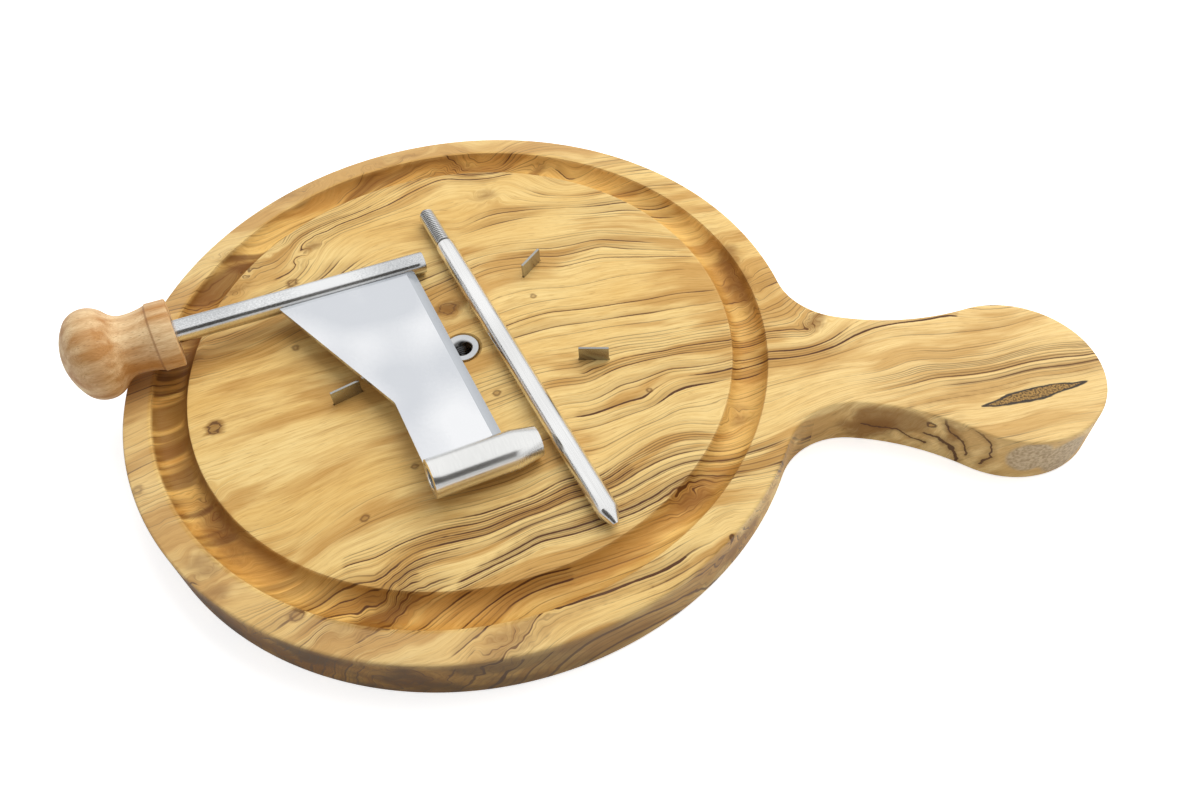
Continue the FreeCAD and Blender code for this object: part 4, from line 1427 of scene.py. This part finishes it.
    def _walls(self, skin: Skin, outline: Points, outward: Points, rim: list[int]) -> list[int]:
        """Adds the rounded rim, the side and the foot.

        Args:
            skin: the board's mesh.
            outline: the side's outline.
            outward: its outward directions.
            rim: the top's outer ring.

        Returns:
            The last ring above the underside.
        """
        rim_turns, side_rows, foot_turns = (22.5, 45, 67.5, 90), 8, (30, 60)
        rows = [(self.rim_radius * (1 - math.sin(a)), self.thickness - self.rim_radius * (1 - math.cos(a)))
                for a in np.radians(rim_turns)]
        side = np.linspace(self.thickness - self.rim_radius, self.foot_radius, side_rows)
        rows += [(0.0, z) for z in side[1:]]
        rows += [(self.foot_radius * (1 - math.cos(a)), self.foot_radius * (1 - math.sin(a)))
                 for a in np.radians(foot_turns)]
        before = rim
        for inset, height in rows:
            after = skin.ring(outline - outward * inset, height)
            skin.join(after, before)
            before = after
        return before

    def _grid(self, outline: Points, cell: float, margin: float) -> Points:
        """Makes a staggered grid inside the outline.

        Args:
            outline: the paddle's outline.
            cell: distance between points.
            margin: how far they stay away from the outline.

        Returns:
            The grid's points.
        """
        low, high = outline.min(0), outline.max(0)
        rows = []
        for i, y in enumerate(np.arange(low[1], high[1], cell * math.sqrt(3) / 2)):
            x = np.arange(low[0] + (i % 2) * cell / 2, high[0], cell)
            rows.append(np.column_stack([x, np.full(len(x), y)]))
        grid = np.vstack(rows)
        grid = grid[inside(grid, outline)]
        away = np.array([np.min(np.linalg.norm(outline - p, axis=1)) for p in grid])
        return grid[away > margin]

    def _bore(self, skin: Skin, hole: Points, mouth: list[int]) -> None:
        """Adds the stepped hole that holds the insert.

        Args:
            skin: the board's mesh.
            hole: the hole's outline on the top, which was drilled a little off the seat.
            mouth: numbers of its points.
        """
        middle = np.array(self.hole_offset)
        soft = 0.15
        shape = ((self.hole_radius - soft, 0.25), (self.seat_radius + 0.12, 0.9), (self.seat_radius, 1.2),
                 (self.seat_radius, self.seat_depth), (self.runout_radius, self.seat_depth),
                 (self.runout_radius, self.seat_depth + self.runout_depth))
        before = mouth
        for radius, depth in shape:
            shift = middle if radius == self.hole_radius - soft else np.zeros(2)
            after = skin.ring((hole - middle) * radius / self.hole_radius + shift, self.thickness - depth)
            skin.join(after, before)
            before = after
        skin.faces.append(tuple(before))

    def _store(self, board: Object, places: Points) -> None:
        """Stores the growth values and the side's share, which the wood's material reads.

        Args:
            board: the board's piece.
            places: its points in millimetres.
        """
        growth = GrowthField()
        flat = places[:, :2]
        depth = self.thickness - places[:, 2]
        give(board, "level", growth.level(flat, depth))
        give(board, "spacing", growth.spacing(flat, depth))
        give(board, "strength", growth.strength(flat))
        give(board, "burl", growth.burl(places))
        give(board, "weathered", growth.weathered(places))
        off_middle = np.abs(np.hypot(flat[:, 0], flat[:, 1]) - self.groove_middle)
        in_groove = (off_middle < self.groove_rows[-1] + 0.1) & (depth < self.groove_depth + 1)
        side = np.clip((depth - self.lip_softness) / self.figure_rise, 0, 1)
        give(board, "side", np.where(in_groove, 0.0, side))


def bearing(start: Points, stop: Points) -> float:
    """The direction from one point to another, in radians."""
    return math.atan2(stop[1] - start[1], stop[0] - start[0])


def inside(points: Points, loop: Points) -> Points:
    """Tells which points lie inside a closed loop.

    Args:
        points: the points.
        loop: the loop's corners.

    Returns:
        True for each point inside.
    """
    result = np.zeros(len(points), bool)
    for (x0, y0), (x1, y1) in zip(loop, np.roll(loop, -1, 0)):
        if y0 == y1:
            continue
        spans = (points[:, 1] > min(y0, y1)) & (points[:, 1] <= max(y0, y1))
        at = x0 + (points[:, 1] - y0) * (x1 - x0) / (y1 - y0)
        result ^= spans & (points[:, 0] < at)
    return result


def triangulate(border: Points, holes: list[Points], fill: Points) -> tuple[Points, list, list[list[int]]]:
    """Fills a border, less its holes, with triangles through given points.

    Args:
        border: the outer loop, anticlockwise.
        holes: inner loops, left open.
        fill: further points inside.

    Returns:
        Points, triangles that face up, and each loop's vertex numbers, the border's first.
    """
    loops = [border, *holes]
    closest = 1e-5
    edges, starts, total = [], [], 0
    for loop in loops:
        edges += [(total + i, total + (i + 1) % len(loop)) for i in range(len(loop))]
        starts.append(total)
        total += len(loop)
    coordinates = np.vstack([*loops, fill])
    given = [Vector(p) for p in coordinates.tolist()]
    found, _, triangles, sources, *_ = delaunay_2d_cdt(given, edges, [], 0, closest)
    points = np.array([tuple(v) for v in found])
    number = {old: new for new, originals in enumerate(sources) for old in originals}
    triangles = np.array(triangles)
    middles = points[triangles].mean(1)
    kept = inside(middles, border)
    for loop in holes:
        kept &= ~inside(middles, loop)
    rings = [[number[start + i] for i in range(len(loop))] for start, loop in zip(starts, loops)]
    corners = points[triangles]
    sweep = np.cross(corners[:, 1] - corners[:, 0], corners[:, 2] - corners[:, 0])
    faces = [tuple(t) if s > 0 else tuple(t[::-1]) for t, s, k in zip(triangles.tolist(), sweep, kept) if k]
    return points, faces, rings


# ---- Steel pieces -----------------------------------------------------------------------------------
PLATES = ("holding_plate_far", "holding_plate_handle", "holding_plate_near")


def node_points(name: str) -> Points:
    """The corners of a solid of the frame, in millimetres."""
    return np.array([tuple(v.co) for v in frame["nodes"][name].data.vertices]) / MM


def plate_corners(name: str) -> Points:
    """Finds the corners of a standing plate.

    Args:
        name: the plate's node.

    Returns:
        Four corners seen from above, anticlockwise.
    """
    flat = np.unique(np.round(node_points(name)[:, :2], 3), axis=0)
    middle = flat.mean(0)
    order = np.argsort(np.arctan2(flat[:, 1] - middle[1], flat[:, 0] - middle[0]))
    return flat[order]


def mount_axis(name: str) -> Axis:
    """The axis of one of the record's mounts."""
    mount = next(m for m in frame["record"]["mounts"] if m["name"] == name)
    return Axis(np.array(mount["pos_m"]) / MM, np.array(mount["axis"], float))


def joint_axis(name: str) -> Axis:
    """The axis of one of the record's joints."""
    joint = next(j for j in frame["joints"] if j["name"] == name)
    return Axis(np.array(joint["pos_m"]) / MM, np.array(joint["axis"], float))


def span(name: str, axis: Axis) -> tuple[float, float]:
    """Where a solid of the frame starts and ends along an axis."""
    reach = (node_points(name) - axis.start) @ axis.along
    return reach.min(), reach.max()


def add_turned(name: str, profile: list[tuple[float, float]], axis: Axis, material: Material,
               body: str, nodes: tuple[str, ...], steps: int = 72, sharp: float = 35.0) -> None:
    """Adds a turned piece, with its lathe coordinates stored for its finish.

    Args:
        name: the piece's name.
        profile: its closed outline, as places along the axis and radii.
        axis: where it goes.
        material: its finish.
        body: the body that it rides on.
        nodes: the solids that it stands for.
        steps: divisions of the full turn.
        sharp: edges that turn by more degrees stay sharp.
    """
    local, faces = turn(profile, steps)
    piece = add_piece(name, axis.place(local), faces, material, body, nodes, sharp)
    give(piece, "lathe", local)


@dataclass
class StandingParts:
    """The threaded insert and the three holding plates, all let into the board."""

    insert_radius: float = 6.0
    insert_top: float = 19.9
    insert_length: float = 12.5
    edge: float = 0.3
    tap_radius: float = 2.5
    thread_radius: float = 2.95
    mouth_radius: float = 3.9
    pitch: float = 1.0
    sharp: float = 50.0             # degrees; thread and edges below it are shaded smooth
    plate_edge: float = 0.12

    def build(self, turned: Material, rolled: Material) -> None:
        """Builds the insert with its inner thread, and the plates with rounded edges.

        Args:
            turned: finish of the insert.
            rolled: finish of the plates.
        """
        bottom = self.insert_top - self.insert_length
        mouth_depth = self.mouth_radius - self.tap_radius
        thread_top = self.insert_top - mouth_depth
        grid = threaded(bottom, thread_top - bottom, self.tap_radius, self.thread_radius, self.pitch)
        steps = grid.shape[1]
        top, wide, edge, soft = self.insert_top, self.insert_radius, self.edge, self.edge * 0.3
        outside = ((top - 0.05, self.mouth_radius - 0.05), (top, self.mouth_radius + 0.12),
                   (top, wide - edge), (top - soft, wide - soft), (top - edge, wide),
                   (bottom + edge, wide), (bottom, wide - edge))
        rings = [*grid, *(ring_at(x, radius, steps) for x, radius in outside)]
        local = np.vstack(rings)
        faces = bands(len(rings), steps, closed=True)
        upright = Axis(np.zeros(3), np.array((0.0, 0.0, 1.0)))
        piece = add_piece("insert_with_thread", upright.place(local), faces, turned, "board",
                          ("threaded_insert",), self.sharp)
        give(piece, "lathe", local)
        for name in PLATES:
            add_softened(name + "_edged", name, self.plate_edge, rolled, "board")


def dress(node: Object, material: Material) -> None:
    """Gives a solid of the frame its finish."""
    node.data.materials.clear()
    node.data.materials.append(material)


def add_softened(name: str, node: str, width: float, material: Material, body: str) -> Object:
    """Adds a flat-faced piece with the shape of a solid and rounded edges.

    Args:
        name: the piece's name.
        node: the solid that it stands for.
        width: millimetres that each edge is rounded by.
        material: its finish.
        body: the body that it rides on.

    Returns:
        The new object.
    """
    flat, corner, sharp = math.radians(1), math.radians(25), 15.0
    shape = bmesh.new()
    shape.from_mesh(frame["nodes"][node].data)
    bmesh.ops.remove_doubles(shape, verts=shape.verts[:], dist=width * MM / 50)
    bmesh.ops.dissolve_limit(shape, angle_limit=flat, verts=shape.verts[:], edges=shape.edges[:])
    corners = [edge for edge in shape.edges if edge.calc_face_angle(0.0) > corner]
    bmesh.ops.bevel(shape, geom=corners, offset=width * MM, segments=3, profile=0.5, affect="EDGES",
                    clamp_overlap=True)
    shape.verts.index_update()
    places = np.array([tuple(vertex.co) for vertex in shape.verts]) / MM
    faces = [[vertex.index for vertex in face.verts] for face in shape.faces]
    shape.free()
    return add_piece(name, places, faces, material, body, (node,), sharp)


@dataclass
class Spindle:
    """The rod that holds the cheese: threaded end, shoulder, shank and blunt point."""

    radius: float = 3.5
    thread_root: float = 2.45
    thread_crest: float = 3.0
    pitch: float = 1.0
    thread_length: float = 19.2
    shoulder: float = 1.2
    point: float = 5.1
    flat: float = 0.95
    cut: float = 0.6                # from the end to the first turn of the thread
    soft: float = 0.15              # of the edges at the point
    sharp: float = 40.0             # degrees; thread and edges below it are shaded smooth

    def axis(self) -> tuple[Axis, float]:
        """Finds where the spindle lies from the solid's own points.

        Returns:
            Its axis from its threaded end, and its length.
        """
        points = node_points("spindle")
        middle = points.mean(0)
        along = np.linalg.svd(points - middle, full_matrices=False)[2][0]
        reach = (points - middle) @ along
        radii = np.linalg.norm(points - middle - reach[:, None] * along, axis=1)
        if radii[reach > reach.max() - 1].max() > radii[reach < reach.min() + 1].max():
            along, reach = -along, -reach
        return Axis(middle + along * reach.min(), along), reach.max() - reach.min()

    def build(self, material: Material) -> None:
        """Builds the spindle with its thread.

        Args:
            material: its finish.
        """
        axis, length = self.axis()
        turns = self.thread_length - self.cut
        grid = threaded(self.cut, turns, self.thread_root, self.thread_crest, self.pitch)
        steps = grid.shape[1]
        lead = ((0.0, 1.9), (0.12, 2.2))
        start = self.thread_length + self.shoulder
        point = length - self.point
        tail = ((start - 0.1, self.radius - 0.25), (start, self.radius - 0.06), (start + 0.2, self.radius),
                *((x, self.radius) for x in np.linspace(24, point - 4, 14)),
                (point - self.soft, self.radius), (point + self.soft, self.radius - 0.09),
                (length - self.soft, self.flat + 0.08), (length, self.flat - 0.1))
        rings = [*(ring_at(x, radius, steps) for x, radius in lead), *grid,
                 *(ring_at(x, radius, steps) for x, radius in tail)]
        local = np.vstack([*rings, np.array([[0.0, 0, 0], [length, 0, 0]])])
        faces = bands(len(rings), steps, closed=False)
        first, last = len(local) - 2, len(local) - 1
        for i in range(steps):
            j = (i + 1) % steps
            faces.append((first, j, i))
            faces.append((last, first - steps + i, first - steps + j))
        piece = add_piece("spindle_with_thread", axis.place(local), faces, material, "spindle",
                          ("spindle",), self.sharp)
        give(piece, "lathe", local)


@dataclass
class Scraper:
    """Hub, blade and crank rod, joined as one, and the ring in the knob that keeps it on the rod."""

    hub_length: float = 35.6
    hub_radius: float = 6.4
    nose_radius: float = 5.0
    taper: float = 8.0
    bore_radius: float = 3.55
    hub_edge: float = 0.25
    rod_radius: float = 4.0
    rod_edge: float = 0.5
    blade_edge: float = 0.1
    bevel_lean: tuple[float, float] = (12.0, 28.0)  # degrees that the ground bevel leans by
    bevel_area: float = 60.0        # square millimetres; the bevel is larger, rounded edges are smaller

    def build(self, polished: Material, plated: Material, rolled: Material) -> None:
        """Builds hub, rod and blade, and dresses the ring.

        Args:
            polished: finish of the hub.
            plated: finish of the rod.
            rolled: finish of the blade.
        """
        bore = mount_axis("hub_bore")
        toward_nose = -bore.along
        nose = bore.start + toward_nose * self.hub_length / 2
        start, edge = -self.hub_length, self.hub_edge
        hub = [(start, self.bore_radius + edge), (start, self.hub_radius - edge),
               (start + edge * 0.3, self.hub_radius - edge * 0.3), (start + edge, self.hub_radius),
               *[(x, self.hub_radius) for x in np.linspace(start + 3, -self.taper - 2, 7)],
               (-self.taper, self.hub_radius), (-edge, self.nose_radius + 0.02),
               (-edge * 0.3, self.nose_radius - 0.1), (0, self.nose_radius - edge),
               (0, self.bore_radius + edge), (-edge, self.bore_radius),
               *[(x, self.bore_radius) for x in np.linspace(-3, start + 3, 5)],
               (start + edge, self.bore_radius)]
        axis = Axis(nose, toward_nose)
        add_turned("hub_sleeve", hub[::-1], axis, polished, "scraper", ("hub",))
        knob = joint_axis("knob_turn")
        edge = self.rod_edge
        tail, end = span("crank_rod", knob)
        rod = [(tail, 0), (tail, self.rod_radius - edge), (tail + edge, self.rod_radius),
               *[(x, self.rod_radius) for x in np.linspace(0, end - 3, 24)],
               (end - edge, self.rod_radius), (end - edge * 0.3, self.rod_radius - edge * 0.3),
               (end, self.rod_radius - edge), (end, 0)]
        add_turned("crank_rod_bar", rod[::-1], knob, plated, "scraper", ("crank_rod",))
        blade = add_softened("bevelled_blade", "blade", self.blade_edge, rolled, "scraper")
        self._mark_bevel(blade.data)
        dress(frame["nodes"]["rod_retaining_ring"], rolled)

    def _mark_bevel(self, mesh: Mesh) -> None:
        """Marks the blade's ground bevel, the wide face that leans a little from the flat ones.

        Args:
            mesh: the blade's mesh.
        """
        flat = max(mesh.polygons, key=lambda face: face.area).normal
        least, most = self.bevel_lean
        marks = []
        for face in mesh.polygons:
            lean = math.degrees(face.normal.angle(flat))
            leans = least < min(lean, 180 - lean) < most
            marks.append(float(leans and face.area > self.bevel_area * MM ** 2))
        mesh.attributes.new("ground", "FLOAT", "FACE").data.foreach_set("value", marks)


@dataclass
class Knob:
    """The beech knob with its collar, waist and ball, and the steel bush in it."""

    length: float = 35.7
    collar_radius: float = 11.7
    collar_length: float = 6.5
    step: float = 0.5
    face_edge: float = 0.5
    waist_radius: float = 10.1
    waist_at: float = 14.0
    ball_radius: float = 15.5
    ball_at: float = 25.3
    ball_arc: float = 8.0
    bush_radius: float = 5.25
    bush_length: float = 18.0
    bush_edge: float = 0.25
    bore_radius: float = 4.05
    room_behind: float = 4.4        # in the knob behind the bush, for the rod's end and its ring
    fit: float = 0.02               # between the bush and its hole
    steps: int = 96
    sharp: float = 38.0             # degrees; the collar's edges turn by more

    def outline(self) -> list[tuple[float, float]]:
        """Draws the turned outline as a chain of tangent arcs.

        Returns:
            Distances from the collar's face and radii, as far as the ball's end.
        """
        step_radius = self.collar_radius - self.step
        step_at = self.collar_length + self.step
        neck = ((self.waist_at - step_at) ** 2 + (step_radius - self.waist_radius) ** 2) \
            / (2 * (step_radius - self.waist_radius))
        half_turn = math.pi / 2
        neck_start = math.atan2(step_radius - self.waist_radius - neck, step_at - self.waist_at)
        run = arc_run((self.waist_at, self.waist_radius + neck), neck, neck_start, -half_turn, 8)
        rise = self.ball_radius - self.waist_radius
        both = ((self.ball_at - self.waist_at) ** 2 + rise ** 2) / (2 * rise)
        swell = both - self.ball_arc
        ball_centre = (self.ball_at, self.ball_radius - self.ball_arc)
        swell_centre = (self.waist_at, self.waist_radius + swell)
        lean = math.atan2(ball_centre[1] - swell_centre[1], ball_centre[0] - swell_centre[0])
        run += arc_run(swell_centre, swell, -half_turn, lean, 8)[1:]
        past = self.length - self.ball_at
        end_radius = (past ** 2 + self.ball_radius ** 2 - 2 * self.ball_radius * self.ball_arc) \
            / (2 * (past - self.ball_arc))
        end_at = self.length - end_radius
        fall = math.atan2(ball_centre[1], ball_centre[0] - end_at)
        run += arc_run(ball_centre, self.ball_arc, lean + math.pi, fall, 20)[1:]
        run += arc_run((end_at, 0), end_radius, fall, 0, 10)[1:]
        soft = self.face_edge
        collar, far = self.collar_radius, self.collar_length
        start = [(0, self.bush_radius + self.fit), (0, collar - soft), (soft * 0.3, collar - soft * 0.3),
                 (soft, collar), (far * 0.5, collar), (far - 0.15, collar), (far + 0.05, collar - 0.08),
                 (step_at - 0.1, step_radius + 0.06)]
        return start + run

    def build(self, beech: Material, turned: Material) -> None:
        """Builds the knob and its bush.

        Args:
            beech: finish of the knob.
            turned: finish of the bush.
        """
        axis = joint_axis("knob_turn")
        outline = [(-x, max(r, 0.0)) for x, r in self.outline()]
        outline[-1] = (-self.length, 0.0)
        bore_end = -self.bush_length - self.room_behind
        profile = [*outline, (bore_end, 0.0), (bore_end, self.bush_radius + self.fit)]
        add_turned("beech_knob", profile, axis, beech, "knob", ("knob",), self.steps, self.sharp)
        edge = self.bush_edge
        bush = [(0, self.bore_radius + edge), (0, self.bush_radius - edge), (-edge, self.bush_radius),
                (-self.bush_length, self.bush_radius), (-self.bush_length, self.bore_radius),
                (-edge, self.bore_radius)]
        add_turned("bush_in_knob", bush, axis, turned, "knob", ("knob_bush",))


# ---- Studio -----------------------------------------------------------------------------------------
@dataclass
class Studio:
    """A white table, a soft lamp overhead, grey cards for the steel to mirror, and the camera."""

    camera_place: tuple[float, float, float] = (72.453, -219.434, 277.954)
    right: tuple[float, float, float] = (0.99683011, 0.07234712, -0.0331002)
    upward: tuple[float, float, float] = (-0.03703858, 0.79020712, 0.61171958)
    backward: tuple[float, float, float] = (0.07041216, -0.60855451, 0.79038189)
    lens: float = 29.7276
    sensor: float = 36.0
    table_size: float = 6.0
    sky: float = 0.46
    lamp_power: float = 12.4
    lamp_size: float = 1.2
    lamp_place: tuple[float, float, float] = (0.42, 0.58, 0.95)
    lamp_aim: tuple[float, float, float] = (0.03, 0, 0)
    table_place: tuple[float, float, float] = (0.05, 0, -0.0002)
    table_colour: str = "#F7F7F7"
    table_glow: float = 0.64
    card_colour: str = "#55524E"
    cards: tuple[tuple[tuple[float, ...], ...], ...] = (    # place, size and direction, in metres
        ((0.1, -0.85, 0.62), (2.0, 0.72), (0.0, -0.85, 0.55)),
        ((-0.9, 0.1, 0.3), (0.7, 0.14), (-0.9, 0.0, 0.3)))
    matt: float = 0.9

    def build(self) -> None:
        """Sets the table, world, lamp, cards and camera."""
        self._table()
        self._world()
        self._lamp()
        self._cards()
        self._camera()

    def _table(self) -> None:
        """A white table that fades into the white behind it."""
        material, tree, shader = new_material("white_table")
        shader.inputs["Base Color"].default_value = linear(self.table_colour)
        shader.inputs["Roughness"].default_value = self.matt
        seen = put(tree, "LightPath", out="Is Camera Ray")
        glow = put(tree, "Math MULTIPLY", (seen, self.table_glow))
        tree.links.new(glow, shader.inputs["Emission Strength"])
        shader.inputs["Emission Color"].default_value = (1, 1, 1, 1)
        table = self._sheet("table", self.table_size, self.table_size, self.table_place, material)

    def _sheet(self, name: str, width: float, height: float, place: tuple[float, ...],
               material: Material) -> Object:
        """Adds a flat sheet to the scene.

        Args:
            name: its name.
            width: its size along its own X, in metres.
            height: its size along its own Y.
            place: where its middle is.
            material: its finish.

        Returns:
            The new object.
        """
        x, y = width / 2, height / 2
        mesh = bpy.data.meshes.new(name)
        mesh.from_pydata([(-x, -y, 0), (x, -y, 0), (x, y, 0), (-x, y, 0)], [], [(0, 1, 2, 3)])
        mesh.materials.append(material)
        sheet = bpy.data.objects.new(name, mesh)
        sheet.location = place
        bpy.context.scene.collection.objects.link(sheet)
        return sheet

    def _world(self) -> None:
        """A white surround: full white to the camera and in mirror images, a plain level as light."""
        world = bpy.data.worlds.new("studio")
        bpy.context.scene.world = world
        world.use_nodes = True
        tree = world.node_tree
        _, _, upward = put(tree, "SeparateXYZ", (put(tree, "TexCoord", out="Generated"),)).node.outputs
        path = put(tree, "LightPath").node.outputs
        mirrored = put(tree, "MapRange", (upward, 0.0, 0.4, 0.55, 1.0), **SMOOTH)
        mirrored = put(tree, "Math MULTIPLY", (path["Is Glossy Ray"], mirrored))
        shown = put(tree, "Math MAXIMUM", (path["Is Camera Ray"], mirrored))
        strength = put(tree, "Math MAXIMUM", (shown, self.sky))
        background = tree.nodes["Background"]
        background.inputs[0].default_value = (1, 1, 1, 1)
        tree.links.new(strength, background.inputs[1])

    def _lamp(self) -> None:
        """A large soft lamp over the far right of the board; the steel mirrors the white surround instead."""
        light = bpy.data.lights.new("softbox", "AREA")
        light.shape = "SQUARE"
        light.size = self.lamp_size
        light.energy = self.lamp_power
        lamp = bpy.data.objects.new("softbox", light)
        lamp.location = self.lamp_place
        aim = Vector(self.lamp_aim) - lamp.location
        lamp.rotation_euler = aim.to_track_quat("-Z", "Y").to_euler()
        lamp.visible_glossy = False
        bpy.context.scene.collection.objects.link(lamp)

    def _cards(self) -> None:
        """Grey cards that only mirror images show, for the dark bands on the steel."""
        material, _, shader = new_material("grey_card")
        shader.inputs["Base Color"].default_value = linear(self.card_colour)
        shader.inputs["Roughness"].default_value = self.matt
        for i, (place, (width, height), facing) in enumerate(self.cards):
            card = self._sheet(f"card_{i}", width, height, place, material)
            card.rotation_euler = Vector(facing).to_track_quat("Z", "Y").to_euler()
            card.visible_camera = False
            card.visible_diffuse = False
            card.visible_shadow = False

    def _camera(self) -> None:
        """The camera, looking down over the near side of the board."""
        data = bpy.data.cameras.new("camera")
        data.lens = self.lens
        data.sensor_width = self.sensor
        data.sensor_fit = "HORIZONTAL"
        data.clip_start = 0.01
        camera = bpy.data.objects.new("camera", data)
        turn_matrix = Matrix((self.right, self.upward, self.backward)).transposed()
        camera.matrix_world = Matrix.Translation(Vector(self.camera_place) * MM) @ turn_matrix.to_4x4()
        bpy.context.scene.collection.objects.link(camera)
        bpy.context.scene.camera = camera


def main() -> None:
    """Builds every sub-assembly in order, then the studio."""
    logging.basicConfig(level=logging.INFO, format="%(name)s: %(message)s")
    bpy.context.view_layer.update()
    turned = Steel("turned_stainless", Marks.ROUND, roughness=0.24).build()
    # The spindle's thread roots and the insert's bore, below, get painted shade.
    drawn = Steel("drawn_stainless", Marks.LENGTHWISE, colour="#E4E4E3", light="#F8F8F7", roughness=0.2,
                  shaded_bore=2.95, shaded_until=20.5).build()
    plated = Steel("zinc_plated_rod", Marks.GRAINY, colour="#BEC0C2", light="#F2F3F3", roughness=0.17,
                   mark_depth=0.000014).build()
    tapped = Steel("tapped_stainless", Marks.ROUND, roughness=0.2, shaded_bore=3.9).build()
    sheared = Steel("sheared_stainless_strip", Marks.ROLLED, colour="#A09F9B", light="#B5B4AF",
                    roughness=0.24).build()
    polished = Steel("polished_stainless", Marks.ROUND, colour="#EAEAE8", light="#FAFAF8",
                     roughness=0.24).build()
    rolled = Steel("rolled_stainless_sheet", Marks.ROLLED, colour="#D8DBE0", light="#F6F7F9", roughness=0.2,
                   mark_depth=0.0000008, ground="#CBCFD4").build()
    PaddleBoard().build(OiledOlive().build())
    StandingParts().build(tapped, sheared)
    Spindle().build(drawn)
    Scraper().build(polished, plated, rolled)
    Knob().build(TurnedBeech().build(), turned)
    Studio().build()
    bpy.context.scene.view_settings.view_transform = "Standard"


if __name__ == "__main__":
    main()
